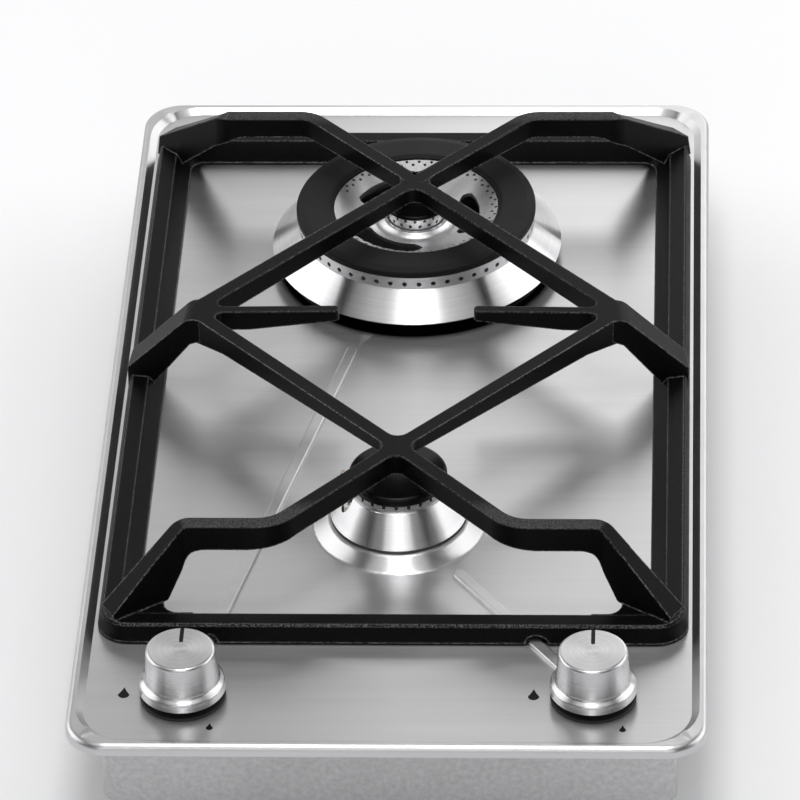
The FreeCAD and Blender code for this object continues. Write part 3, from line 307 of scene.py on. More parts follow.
def blackCasting(name, s):
    finish, tree, shader, place = newFinish(name, {"Specular IOR Level": s["specular"]})
    grain = useGroup(tree, castGrain, {"Vector": place, "Size": s["grain"]})
    edgeSockets = {"Vector": place, "Size": s["edgeMarkSize"], "Width": s["edgeMarkWidth"]}
    edge = useGroup(tree, edgeWearHighlight, edgeSockets)["Edge"]
    at = addNode(tree, "SeparateXYZ", {0: place}).outputs
    low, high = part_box("pan_support")
    # painted highlight, partly wear: the tops of the outer arms are lightened, standing in for the light
    # that they catch
    off = doMath(tree, "ABSOLUTE", doMath(tree, "SUBTRACT", at["Y"], (low.y + high.y) / 2))
    outerArmWearHighlight = product(tree, spread(tree, at["Z"], *s["topLevel"]),
                   spread(tree, off, *s["slide"], 0.0, s["outerArmShare"]),
                   spread(tree, grain["Grain"], *s["outerArmSpeckle"]))
    # painted highlight, partly wear: a lighter speckled line along the upper front edge of the front bar,
    # standing in for the light that this edge catches
    depths = [low.y + depth for depth in s["barReach"]]
    line = product(tree, spread(tree, at["Z"], *s["barFoot"]), spread(tree, at["Z"], *s["barCrest"]),
                   spread(tree, at["Y"], *depths, 0.0, s["barShare"]),
                   spread(tree, grain["Grain"], *s["barSpeckle"]))
    wearHighlightMask = doMath(tree, "MAXIMUM", doMath(tree, "MAXIMUM", edge, line), outerArmWearHighlight)
    tone = mixColour(tree, spread(tree, grain["Grain"], *s["tone"]), s["dark"], s["light"])
    setColour(tree, shader, wearHighlightMask, tone, s["wearHighlightColour"])
    setRoughness(tree, shader, grain["Pits"], *s["roughness"])
    lumps = doMath(tree, "ADD", grain["Grain"], product(tree, grain["Pits"], s["pitShare"]))
    setBump(tree, shader, lumps, s["bump"])
    return finish


# inside is a painted shade: the dark colour of faces that look down, in place of the shade under them
polishedCone = {"dark": grey(0.82), "light": grey(0.92), "inside": grey(0.035), "pitch": 0.0006,
                "roughness": (0.31, 0.37), "anisotropy": 1.0, "bump": 0.000006}
satinMetal = {"dark": grey(0.50), "light": grey(0.62), "inside": grey(0.10), "pitch": 0.0005,
              "roughness": (0.24, 0.36), "anisotropy": 0.6, "bump": 0.000003}
turning = {
    "smudge": 0.02,
    "ringShare": 0.6,
    "shadeFacing": (-0.02, -0.2),  # upward parts of the normal between which a face is painted dark as shade
}


def turnedMetal(name, axis, own):
    s = {**turning, **own}
    finish, tree, shader, place = newFinish(name, {"Metallic": 1.0, "Anisotropic": s["anisotropy"]})
    shift = {"Vector": place, "Location": (-axis.x, -axis.y, 0.0)}
    centred = addNode(tree, "Mapping", shift).outputs["Vector"]
    ring = useGroup(tree, turnedRings, {"Vector": centred, "Pitch": s["pitch"]})["Ring"]
    marks = useGroup(tree, handSmudges, {"Vector": place, "Size": s["smudge"]})["Smudge"]
    shine = mixColour(tree, spread(tree, ring, *toneRange), s["dark"], s["light"])
    # painted shade: faces that look down take the dark inside colour in place of the turned shine, standing
    # in for the shade beneath them
    normal = addNode(tree, "NewGeometry").outputs["Normal"]
    facing = addNode(tree, "SeparateXYZ", {0: normal}).outputs["Z"]
    setColour(tree, shader, spread(tree, facing, *s["shadeFacing"]), shine, s["inside"])
    setRoughness(tree, shader, blend(tree, ring, marks, s["ringShare"]), *s["roughness"])
    setBump(tree, shader, ring, s["bump"])
    # light smears across the lathe lines, so the tangent points away from the axis
    outward = vectorMath(tree, "MULTIPLY", centred, (1.0, 1.0, 0.0))["Vector"]
    tree.links.new(outward, shader.inputs["Tangent"])
    return finish


bareMetal = {"smudge": 0.03, "pitShare": 0.6}
coating = {"smudge": 0.025, "pitShare": 0.5}
grainyFinishes = {
    # name, dark, light, size of the grain, roughness, bump and, for a coat, specular level
    "cast_aluminium": ("castAluminium", grey(0.28), grey(0.52), 0.0009, (0.36, 0.60), 0.00004),
    "bright_steel": ("zincPlate", grey(0.44), grey(0.60), 0.0016, (0.18, 0.34), 0.000010),
    "drawn_tube": ("drawnTube", grey(0.50), grey(0.66), 0.0020, (0.22, 0.38), 0.000012),
    "galvanised_sheet": ("spangledSheet", grey(0.40), grey(0.52), 0.0028, (0.26, 0.46), 0.000020),
    "brass": ("machinedBrass", (0.50, 0.34, 0.11, 1.0), (0.72, 0.53, 0.22, 1.0), 0.0014,
              (0.20, 0.38), 0.000015),
    "copper_probe": ("drawnCopper", (0.34, 0.27, 0.22, 1.0), (0.52, 0.43, 0.36, 1.0), 0.0012,
                     (0.24, 0.42), 0.000015),
    "white_ceramic": ("firedCeramic", (0.66, 0.64, 0.59, 1.0), (0.80, 0.79, 0.75, 1.0), 0.0015,
                      (0.28, 0.45), 0.00001, 0.5),
    "lead_silicone": ("leadSheath", (0.55, 0.53, 0.48, 1.0), (0.68, 0.66, 0.61, 1.0), 0.0020,
                      (0.45, 0.62), 0.00002, 0.35),
    "black_enamel": ("capEnamel", grey(0.0012), grey(0.0032), 0.0010, (0.24, 0.36), 0.000014, 0.15),
    "black_rubber": ("softRubber", grey(0.010), grey(0.022), 0.0008, (0.55, 0.75), 0.00004, 0.3),
    "seal_foam": ("sealFoam", grey(0.030), grey(0.085), 0.0012, (0.75, 0.95), 0.00018, 0.2),
    "black_plastic": ("mouldedPlastic", grey(0.012), grey(0.024), 0.0009, (0.40, 0.55), 0.00002, 0.4),
    # two more, for single nodes
    "crown": ("crownMetal", grey(0.58), grey(0.76), 0.0005, (0.30, 0.44), 0.000012),
    "ringCap": ("ringEnamel", grey(0.008), grey(0.012), 0.0007, (0.44, 0.56), 0.000018, 0.12),
}


def grainyFinish(name, dark, light, size, roughness, bump, specular=None):
    isMetal = specular is None
    s = bareMetal if isMetal else coating
    constants = {"Metallic": 1.0} if isMetal else {"Specular IOR Level": specular}
    finish, tree, shader, place = newFinish(name, constants)
    grain = useGroup(tree, castGrain, {"Vector": place, "Size": size})
    marks = useGroup(tree, handSmudges, {"Vector": place, "Size": s["smudge"]})["Smudge"]
    setColour(tree, shader, spread(tree, grain["Grain"], *toneRange), dark, light)
    setRoughness(tree, shader, blend(tree, grain["Pits"], marks, s["pitShare"]), *roughness)
    setBump(tree, shader, grain["Grain"], bump)
    return finish


finishes = {key: grainyFinish(*row) for key, row in grainyFinishes.items()}
finishes["brushed_stainless"] = brushedStainless("brushedStainless", brushedSteel)
finishes["cast_iron"] = blackCasting("blackCasting", castIron)
ownFinish = {
    "rear_burner_skirt": turnedMetal("rearPolish", rearAxis, polishedCone),
    "front_burner_skirt": turnedMetal("frontPolish", frontAxis, polishedCone),
    "rear_burner_crown": finishes["crown"],
    "rear_centre_crown": finishes["crown"],
    "rear_ring_cap": finishes["ringCap"],
}
for side, axis in knobAxes.items():
    ownFinish[side + "_knob"] = turnedMetal(side + "KnobMetal", axis, satinMetal)
slotOf = {part["node"]: part["material_slot"] for part in frame["record"]["subparts"]}
for name, node in frame["nodes"].items():
    node.data.materials.clear()
    node.data.materials.append(ownFinish[name] if name in ownFinish else finishes[slotOf[name]])
print("finishes:", len(bpy.data.materials))


# pieces and the shapes that they are made of

def addPiece(name, mesh, body, slot, finish=None):
    piece = bpy.data.objects.new(name, mesh)
    show(piece)
    mesh.materials.clear()
    mesh.materials.append(finish or finishes[slot])
    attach(piece, body)
    return piece


up = Vector((0.0, 0.0, 1.0))
tiny = 1e-9  # room for rounding errors


def show(thing):
    bpy.context.scene.collection.objects.link(thing)


def faceOut(bm):
    bmesh.ops.recalc_face_normals(bm, faces=bm.faces)


def openMesh(mesh, weld=0.0):
    bm = bmesh.new()
    bm.from_mesh(mesh)
    if weld:
        bmesh.ops.remove_doubles(bm, verts=bm.verts, dist=weld)
    return bm


def closeMesh(bm, mesh):
    bm.to_mesh(mesh)
    bm.free()
    return mesh


def roundOff(corners, steps=6):
    # swaps each corner that has a radius for the points of its arc
    points = []
    for k, corner in enumerate(corners):
        here = Vector(corner[:2])
        if len(corner) < 3:
            points.append(here)
            continue
        back = (Vector(corners[k - 1][:2]) - here).normalized()
        ahead = (Vector(corners[(k + 1) % len(corners)][:2]) - here).normalized()
        half = back.angle(ahead) / 2
        centre = here + (back + ahead).normalized() * (corner[2] / math.sin(half))
        first = here + back * (corner[2] / math.tan(half)) - centre
        last = here + ahead * (corner[2] / math.tan(half)) - centre
        begin = math.atan2(first.y, first.x)
        sweep = (math.atan2(last.y, last.x) - begin + math.pi) % (2 * math.pi) - math.pi
        for step in range(steps + 1):
            angle = begin + sweep * step / steps
            points.append(centre + Vector((math.cos(angle), math.sin(angle))) * corner[2])
    return points


def pullUp(bm, faces, height):
    # makes solids of flat faces
    raised = bmesh.ops.extrude_face_region(bm, geom=faces)["geom"]
    lifted = [part for part in raised if isinstance(part, bmesh.types.BMVert)]
    bmesh.ops.translate(bm, verts=lifted, vec=(0, 0, height))
    faceOut(bm)


def prism(corners, low, high):
    bm = bmesh.new()
    face = bm.faces.new([bm.verts.new((p.x, p.y, low)) for p in roundOff(corners)])
    pullUp(bm, [face], high - low)
    return bm


def rod(radius, start, end, segments):
    bm = bmesh.new()
    bmesh.ops.create_cone(bm, cap_ends=True, segments=segments, radius1=radius, radius2=radius,
                          depth=(end - start).length)
    turn = (end - start).to_track_quat("Z", "X").to_matrix().to_4x4()
    bmesh.ops.transform(bm, matrix=Matrix.Translation((start + end) / 2) @ turn, verts=bm.verts)
    return bm


def fuse(name, solids, cuts):
    # one closed mesh of overlapping solids, less the cuts
    def toObject(bm, label):
        return bpy.data.objects.new(label, closeMesh(bm, bpy.data.meshes.new(label)))

    whole = toObject(solids[0], name + "Start")
    show(whole)
    spare = [whole]
    groups = []
    for operation, bodies in (("UNION", solids[1:]), ("DIFFERENCE", cuts)):
        if not bodies:
            continue
        groups.append(bpy.data.collections.new(name + operation))
        bpy.context.scene.collection.children.link(groups[-1])
        for bm in bodies:
            spare.append(toObject(bm, name + operation))
            groups[-1].objects.link(spare[-1])
        step = whole.modifiers.new(operation, "BOOLEAN")
        step.operation = operation
        step.operand_type = "COLLECTION"
        step.collection = groups[-1]
        step.solver = "EXACT"
    mesh = bpy.data.meshes.new_from_object(whole.evaluated_get(bpy.context.evaluated_depsgraph_get()))
    mesh.name = name
    for leftover in [thing.data for thing in spare]:
        bpy.data.meshes.remove(leftover)
    for group in groups:
        bpy.data.collections.remove(group)
    return mesh


def evenNormals(piece):
    # large flat faces keep their own normals beside small rounded ones
    step = piece.modifiers.new("evenNormals", "WEIGHTED_NORMAL")
    step.keep_sharp = True


def smoothBelow(bm, degrees):
    for face in bm.faces:
        face.smooth = True
    for edge in bm.edges:
        edge.smooth = len(edge.link_faces) == 2 and edge.calc_face_angle() < math.radians(degrees)


# cast pan grate

grate = {
    "armWidth": 0.0073, "armDepth": 0.0105, "frontArmDepth": 0.0129,
    "crossDepth": 0.0060,  # the arms get shallower towards the front crossing
    "rearRise": 0.0026,  # and over the large burner
    "junctionShare": 0.49,  # place of the side junctions between the two burners
    "junctionDrop": 0.0040, "junctionRound": 0.0080, "rootInset": 0.0060,
    "fingerWidth": 0.0050, "fingerTipDepth": 0.0056, "fingerBend": 0.0200, "tipRound": 0.0022,
    "tipLeast": 0.0020,  # least height of the edges that are rounded at the tip
    "cornerLegWidth": 0.0110, "legDraft": 0.0020,
    "legFoot": 0.0010,  # height of the side legs' feet inside the frame
    "frontShoulder": 0.0140, "rearShoulder": 0.0170, "sideShoulder": 0.0180,  # where the legs meet the frame
    "sideLegRoot": 0.0170, "sideLegWidth": 0.0132,  # at the junction and at the frame
    "sideLegBack": 0.0090, "sideLegCrest": 0.0010,  # ends of its flat root, inside and outside the junction
    "crestRound": 0.0100,
    "windowTop": 0.0441,  # inset from the side of the upper corner of the opening beside a leg
    "frontWindow": (0.0306, 0.0130),  # and inset and height of its lower corner
    "rearWindow": (0.0172, 0.0080),
    "sillRound": 0.0020, "windowRound": 0.0130,
    "rearBends": (0.0140, 0.0080), "frontBends": (0.0200, 0.0140), "bendSteps": 8,
    "ringGap": 0.0003,  # least distance between two sections of a swept arm
    "gussetRound": 0.0070, "gussetInset": 0.0092, "gussetOverlap": 0.0020, "gussetStep": 0.0002,
    "barHeight": 0.0088, "barTop": 0.0095, "barEdge": 0.0010, "outerDraft": 0.0020, "innerDraft": 0.0062,
    "corner": 0.0150, "innerCorners": (0.0100, 0.0090, 0.0070),
    "notch": 0.0045,  # arched notches where the plate's ribs pass under
    "notchPlaces": ((-0.0830, 0.243), (0.0635, -0.719)),  # x at the front bar, and the rib's slope in plan
    "notchDrop": 0.0005, "notchReach": 0.0200, "notchSides": 24,
    "crossFillet": 0.0060, "fingerFillet": 0.0035, "webInset": 0.2, "weld": 0.00002,
    "flatAngle": 0.5,  # degrees
    "smoothAngle": 21.0, "edge": 0.0005, "rimDrop": 0.0260,
    "rimLevel": 0.6,  # a rim runs between a face that looks up by this much or more
    "rimUpright": 0.3,  # and one that looks up or down by less than this
    "crestReach": 0.0165,
}
grateLow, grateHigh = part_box("pan_support")
grateTop, grateRise = grateHigh.z, grateHigh.z - grateLow.z


def gratePlan(s, side):
    # centre lines of the arms; side is 1 for the right-hand half and -1 for the left
    half, front, rear = grateHigh.x, grateLow.y, grateHigh.y
    junctionY = frontAxis.y + s["junctionShare"] * (rearAxis.y - frontAxis.y)
    places = {
        "rearCorner": (half - 0.0052, rear - 0.0085),
        "rearOuter": (half - 0.0379, rear - 0.0409),
        "rearInner": (0.0545, rear - 0.0409),
        "rearCross": (0.0, rearAxis.y - 0.0010),
        "junction": (half - 0.0327, junctionY),
        "finger": (0.0324, junctionY + 0.0012),
        "side": (half - 0.0012, junctionY + 0.0035),
        "frontCross": (0.0, frontAxis.y - 0.0016),
        "frontInner": (0.0540, front + 0.0323),
        "frontOuter": (half - 0.0399, front + 0.0323),
        "frontCorner": (half - 0.0052, front + 0.0105),
    }
    return {name: Vector((side * x, y, 0.0)) for name, (x, y) in places.items()}


gratePlans = {side: gratePlan(grate, side) for side in (1, -1)}


def shapedBar(start, end, startWidth, endWidth, sideView, draft=0.0):
    # bar with a side view of (distance, height) corners, that widens from start to end and towards its foot
    along = (end - start).normalized()
    across = Vector((-along.y, along.x, 0.0))
    bm = bmesh.new()
    face = bm.faces.new([bm.verts.new(start + along * p.x + up * p.y) for p in roundOff(sideView)])
    pulled = set(bmesh.ops.extrude_face_region(bm, geom=[face])["geom"])
    for vert in bm.verts:
        share = (vert.co - start).dot(along) / (end - start).length
        drop = (grateTop - vert.co.z) / grateRise
        half = (startWidth + (endWidth - startWidth) * share) / 2 + draft * drop
        vert.co += across * (half if vert in pulled else -half)
    faceOut(bm)
    return bm


def armBar(s, start, end, endDepth):
    # arm from a junction, with a deep root, to a crossing
    length = (end - start).length
    top = grateTop
    depth = s["armDepth"]
    sideView = [(0, top), (length, top), (length, top - endDepth), (2 * depth, top - depth),
                (0, top - depth - s["junctionDrop"])]
    return shapedBar(start, end, s["armWidth"], s["armWidth"], sideView)


def fingerBar(s, start, end):
    # finger towards the middle, that gets shallower towards its rounded tip
    length = (end - start).length
    top = grateTop
    root = top - s["armDepth"]
    sideView = [(0, top), (length, top), (length, top - s["fingerTipDepth"]),
                (length / 3, root, s["fingerBend"]), (0, root)]
    bm = shapedBar(start, end, s["fingerWidth"], s["fingerWidth"], sideView)
    ends = [e for e in bm.edges if all((v.co.xy - end.xy).length < s["fingerWidth"] for v in e.verts)
            and abs(e.verts[0].co.z - e.verts[1].co.z) > s["tipLeast"]]
    bmesh.ops.bevel(bm, geom=ends, offset=s["tipRound"], offset_type="OFFSET", affect="EDGES", segments=4,
                    profile=0.5, material=-1)
    return bm


def heightAt(view, distance):
    # height of a side view at a distance along it
    for before, after in zip(view, view[1:]):
        if distance <= after.x:
            share = (distance - before.x) / max(after.x - before.x, tiny)
            return before.y + (after.y - before.y) * min(max(share, 0.0), 1.0)
    return view[-1].y


def sweptArm(s, corners, views, widths):
    # bar that follows rounded corners in plan; views are its top and its foot against the distance along it
    line = [Vector((p.x, p.y, 0.0)) for p in roundOff(corners, s["bendSteps"])]
    marks = [0.0]
    for before, after in zip(line, line[1:]):
        marks.append(marks[-1] + (after - before).length)
    inner = [p.x for view in views for p in view if 0.0 < p.x < marks[-1]]
    stops = [0.0]
    for stop in sorted(marks + inner):
        if stop - stops[-1] > s["ringGap"]:
            stops.append(stop)
    bm = bmesh.new()
    rings = []
    for stop in stops:
        k = max(i for i in range(len(line) - 1) if marks[i] <= stop + tiny or i == 0)
        way = (line[k + 1] - line[k]).normalized()
        place = line[k] + way * (stop - marks[k])
        if k > 0 and stop - marks[k] < s["ringGap"]:
            way = (way + (line[k] - line[k - 1]).normalized()).normalized()
        across = Vector((-way.y, way.x, 0.0))
        top, foot = (heightAt(view, stop) for view in views)
        half = heightAt(widths, stop) / 2
        wide = half + s["legDraft"] * (grateTop - foot) / grateRise
        rings.append([bm.verts.new(place + across * side + up * z)
                      for side, z in ((-half, top), (half, top), (wide, foot), (-wide, foot))])
    for before, after in zip(rings, rings[1:]):
        for k in range(4):
            bm.faces.new((before[k - 1], before[k], after[k], after[k - 1]))
    bm.faces.new(rings[0])
    bm.faces.new(rings[-1])
    faceOut(bm)
    return bm


def outerArm(s, plan, end, depths):
    # arm from a crossing, along the front or the rear, and down as a leg to a corner of the frame
    cross, inner, outer, corner = (plan[end + name] for name in ("Cross", "Inner", "Outer", "Corner"))
    firstBend, secondBend = s[end + "Bends"]
    windowFoot, sill = s[end + "Window"]
    top, armDepth, armWidth = grateTop, s["armDepth"], s["armWidth"]
    first = (inner - cross).length
    second = first + (outer - inner).length
    total = second + (corner - outer).length
    perX = (corner - outer).length / abs(corner.x - outer.x)
    windowTop = second - (abs(outer.x) - grateHigh.x + s["windowTop"])
    windowLow = second + (grateHigh.x - windowFoot - abs(outer.x)) * perX
    topView = roundOff([(0, top), (second, top, s["crestRound"]), (total, s[end + "Shoulder"])])
    footView = roundOff([(0, top - depths[0]), (first - armDepth, top - armDepth),
                         (first + armDepth, top - depths[1]), (windowTop, top - depths[1], s["windowRound"]),
                         (windowLow, sill, s["sillRound"]), (total, sill)])
    widths = roundOff([(0, armWidth), (second, armWidth), (total, s["cornerLegWidth"])])
    corners = [cross.xy, (inner.x, inner.y, firstBend), (outer.x, outer.y, secondBend), corner.xy]
    return sweptArm(s, corners, (topView, footView), widths)


def sideLeg(s, junction, foot):
    # broad leg from the junction of the arms down to the middle of a side bar
    top = grateTop
    length = (foot - junction).length
    back = -s["sideLegBack"]
    footZ = grateLow.z + s["legFoot"]
    sideView = [(back, top), (s["sideLegCrest"], top, s["junctionRound"]), (length, s["sideShoulder"]),
                (length, footZ), (length - s["barTop"], footZ),
                (0, top - s["armDepth"] - s["junctionDrop"]), (back, top - s["armDepth"])]
    return shapedBar(junction, foot, s["sideLegRoot"], s["sideLegWidth"], sideView, s["legDraft"] / 2)


def gusset(s, side):
    # low web that rounds the corner between a front leg and the front bar
    footX = grateHigh.x - s["frontWindow"][0]
    sideX = grateHigh.x - s["gussetInset"]
    endX = footX - 2 * s["gussetRound"]
    barY = grateLow.y + s["outerDraft"] + s["barTop"]
    insideY = barY - s["gussetOverlap"]
    legY = gratePlans[1]["frontCorner"].y
    corners = [(footX, legY + s["cornerLegWidth"]), (footX, barY, s["gussetRound"]), (endX, barY),
               (endX, insideY), (sideX, insideY), (sideX, legY + s["cornerLegWidth"] / 2)]
    corners = [(side * corner[0], *corner[1:]) for corner in corners]
    return prism(corners, grateLow.z, grateLow.z + s["barHeight"] - s["gussetStep"])


def baseFrame(s):
    # closed ring of bars with drafted walls and rounded corners
    bm = bmesh.new()
    low, high = grateLow.z, grateLow.z + s["barHeight"]

    def loop(inset, corner, z):
        x, front, rear = grateHigh.x - inset, grateLow.y + inset, grateHigh.y - inset
        corners = [(-x, front, corner), (x, front, corner), (x, rear, corner), (-x, rear, corner)]
        verts = [bm.verts.new((p.x, p.y, z)) for p in roundOff(corners, s["bendSteps"])]
        return [bm.edges.new((verts[k - 1], verts[k])) for k in range(len(verts))]

    edge = s["barEdge"]
    outerTop = s["outerDraft"]
    innerTop = outerTop + s["barTop"]
    upper, middle, lower = s["innerCorners"]
    loops = [
        loop(0.0, s["corner"], low),
        loop(outerTop, s["corner"] - outerTop, high - edge),
        loop(outerTop + edge, s["corner"] - outerTop - edge, high),
        loop(innerTop - edge, upper, high),
        loop(innerTop, middle, high - edge),
        loop(innerTop + s["innerDraft"], lower, low),
    ]
    for k in range(len(loops)):
        bmesh.ops.bridge_loops(bm, edges=loops[k - 1] + loops[k])
    faceOut(bm)
    return bm


def filletWeb(s, centre, first, second, radius, depth, widths):
    # concave web in the corner between two arms that leave centre towards two places
    ways = [(place - centre).normalized() for place in (first, second)]
    turn = ways[0].angle(ways[1])
    corner = centre + (ways[0] * widths[1] + ways[1] * widths[0]) / (2 * math.sin(turn))
    far = 2 * radius / math.tan(turn / 2)
    bend = roundOff([(corner + ways[0] * far).xy, (corner.x, corner.y, radius), (corner + ways[1] * far).xy])
    inside = corner + (centre - corner) * s["webInset"]
    return prism([inside.xy, *bend[1:-1]], grateTop - depth, grateTop)


def grateFillets(s):
    right, left = gratePlans[1], gratePlans[-1]
    depth = s["armDepth"]
    shallow = depth - s["rearRise"]
    wide = s["armWidth"]
    webs = []
    for end, between, outside, beside in (("rear", shallow, shallow, shallow),
                                          ("front", s["crossDepth"], depth, s["crossDepth"])):
        inner = end + "Inner"
        for first, second, webDepth in ((right["junction"], left["junction"], between),
                                        (right[inner], left[inner], outside),
                                        (right["junction"], right[inner], beside),
                                        (left["junction"], left[inner], beside)):
            webs.append(filletWeb(s, right[end + "Cross"], first, second, s["crossFillet"], webDepth,
                                  (wide, wide)))
    for plan in (right, left):
        for name in ("rearCross", "frontCross"):
            webs.append(filletWeb(s, plan["junction"], plan[name], plan["finger"], s["fingerFillet"], depth,
                                  (wide, s["fingerWidth"])))
    return webs


def grateSolids(s):
    solids = [baseFrame(s)]
    depth = s["armDepth"]
    shallow = depth - s["rearRise"]
    for side in (1, -1):
        near, far = gratePlans[side], gratePlans[-side]
        solids.append(outerArm(s, near, "rear", (shallow, depth)))
        solids.append(outerArm(s, near, "front", (depth, s["frontArmDepth"])))
        centre = near["junction"]
        # the arms and the finger start inside the flat root of the side leg
        starts = {name: centre + (near[name] - centre).normalized() * s["rootInset"]
                  for name in ("rearCross", "frontCross", "finger")}
        solids.append(armBar(s, starts["rearCross"], far["rearCross"], shallow))
        solids.append(armBar(s, starts["frontCross"], near["frontCross"], s["crossDepth"]))
        solids.append(fingerBar(s, starts["finger"], near["finger"]))
        solids.append(sideLeg(s, centre, near["side"]))
        solids.append(gusset(s, side))
    return solids


def grateNotches(s):
    barY = grateLow.y + s["barTop"] / 2
    cuts = []
    for x, slope in s["notchPlaces"]:
        reach = Vector((slope, 1.0, 0.0)).normalized() * s["notchReach"]
        middle = Vector((x, barY, grateLow.z - s["notchDrop"]))
        cuts.append(rod(s["notch"], middle - reach, middle + reach, s["notchSides"]))
    return cuts


def makeGrate(s):
    mesh = fuse("panGrate", grateSolids(s) + grateFillets(s), grateNotches(s))
    bm = openMesh(mesh, s["weld"])
    bmesh.ops.dissolve_limit(bm, angle_limit=math.radians(s["flatAngle"]), verts=bm.verts, edges=bm.edges)
    top = grateTop
    junction = gratePlans[1]["junction"]

    def onCrest(vert):
        away = Vector((abs(vert.co.x) - junction.x, vert.co.y - junction.y))
        return away.length < s["crestReach"] and away.x > -s["armWidth"]

    def isRim(edge):
        if len(edge.link_faces) != 2 or min(v.co.z for v in edge.verts) <= top - s["rimDrop"]:
            return False
        lower, upper = sorted(face.normal.z for face in edge.link_faces)
        meets = upper > s["rimLevel"] and abs(lower) < s["rimUpright"]
        return meets and not any(onCrest(v) for v in edge.verts)

    rims = [edge for edge in bm.edges if isRim(edge)]
    bmesh.ops.bevel(bm, geom=rims, offset=s["edge"], offset_type="OFFSET", affect="EDGES", segments=2,
                    profile=0.5, clamp_overlap=False, material=-1)
    for vert in bm.verts:
        vert.co.z = min(vert.co.z, top)
    print("grate:", len(bm.faces), "faces,", len(rims), "rims")
    smoothBelow(bm, s["smoothAngle"])
    closeMesh(bm, mesh)
    piece = addPiece("panGrate", mesh, "pan_support", "cast_iron")
    evenNormals(piece)
    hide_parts("pan_support")


makeGrate(grate)


# turned and drilled rings of the rear burner

ringWork = {"weld": 0.000001, "smoothAngle": 30.0, "slotSteps": 10, "slotEndSteps": 4}


def turnedRing(profile, steps):
    # closed profile of (radius, height) corners spun round the rear burner's axis
    axis = rearAxis
    bm = bmesh.new()
    verts = [bm.verts.new((axis.x + p.x, axis.y, p.y)) for p in roundOff(profile)]
    edges = [bm.edges.new((verts[k - 1], verts[k])) for k in range(len(verts))]
    bmesh.ops.spin(bm, geom=verts + edges, cent=(axis.x, axis.y, 0), axis=(0, 0, 1), angle=2 * math.pi,
                   steps=steps, use_merge=True)
    bmesh.ops.remove_doubles(bm, verts=bm.verts, dist=ringWork["weld"])
    faceOut(bm)
    return bm


def aroundAxis(axis, radius, degrees, z):
    turn = math.radians(degrees)
    return Vector((axis.x + radius * math.cos(turn), axis.y + radius * math.sin(turn), z))


def drill(radius, degrees, start, end, sides):
    # hole between two places of (radius, height), both at one angle round the rear burner
    return rod(radius, aroundAxis(rearAxis, start[0], degrees, start[1]),
               aroundAxis(rearAxis, end[0], degrees, end[1]), sides)


def arcSlot(inner, outer, middle, sweep, low, high):
    # curved slot with bulging ends
    width = outer - inner
    bulge = math.degrees(width / 3 / ((inner + outer) / 2))
    steps, endSteps = ringWork["slotSteps"], ringWork["slotEndSteps"]
    angles = [middle - sweep / 2 + sweep * k / steps for k in range(steps + 1)]
    ends = [(width * k / endSteps, bulge * math.sin(math.pi * k / endSteps)) for k in range(1, endSteps)]
    places = [(outer, angle) for angle in angles]
    places += [(outer - inset, angles[-1] + swing) for inset, swing in ends]
    places += [(inner, angle) for angle in reversed(angles)]
    places += [(inner + inset, angles[0] - swing) for inset, swing in ends]
    return prism([aroundAxis(rearAxis, radius, angle, 0).xy for radius, angle in places], low, high)


def drilledRing(name, profile, steps, drills):
    mesh = fuse(name, [turnedRing(profile, steps)], drills)
    bm = openMesh(mesh)
    smoothBelow(bm, ringWork["smoothAngle"])
    print(name + ":", len(bm.faces), "faces,", len(drills), "openings")
    return closeMesh(bm, mesh)


# crown of the rear burner: drilled band, gas channel and shallow slotted dish

rearCrown = {
    "floor": 0.0241, "channel": 0.0252,  # heights
    "wall": 0.0030, "channelInner": 0.0360, "channelWall": 0.0020, "capBore": 0.0410,
    "capGap": 0.0004,  # room inside the ring cap's bore
    "dishTop": 0.0335, "dishSlope": 0.366, "sheet": 0.0020,
    "dishFoot": (0.0190, 0.0040),  # radius and rounding
    "seat": (0.0163, 0.0006), "seatRise": 0.0028,
    "seatUnder": 0.0151, "footUnder": 0.0186,  # radii of the bends on the underside
    "bore": 0.0145,
    # middle angle, inner and outer radius
    "slots": ((359.0, 0.0243, 0.0315), (125.0, 0.0243, 0.0315), (238.0, 0.0243, 0.0375)),
    "slotSweep": 64.0, "spinSteps": 120,
    "portCount": 52, "portRadius": 0.00125, "portHeight": 0.0270, "portSides": 10,
    "innerCount": 40, "innerRadius": 0.0008, "innerSides": 8,
    "innerInsets": (0.0014, 0.0032), "innerBlank": (161.0, 199.0),
}


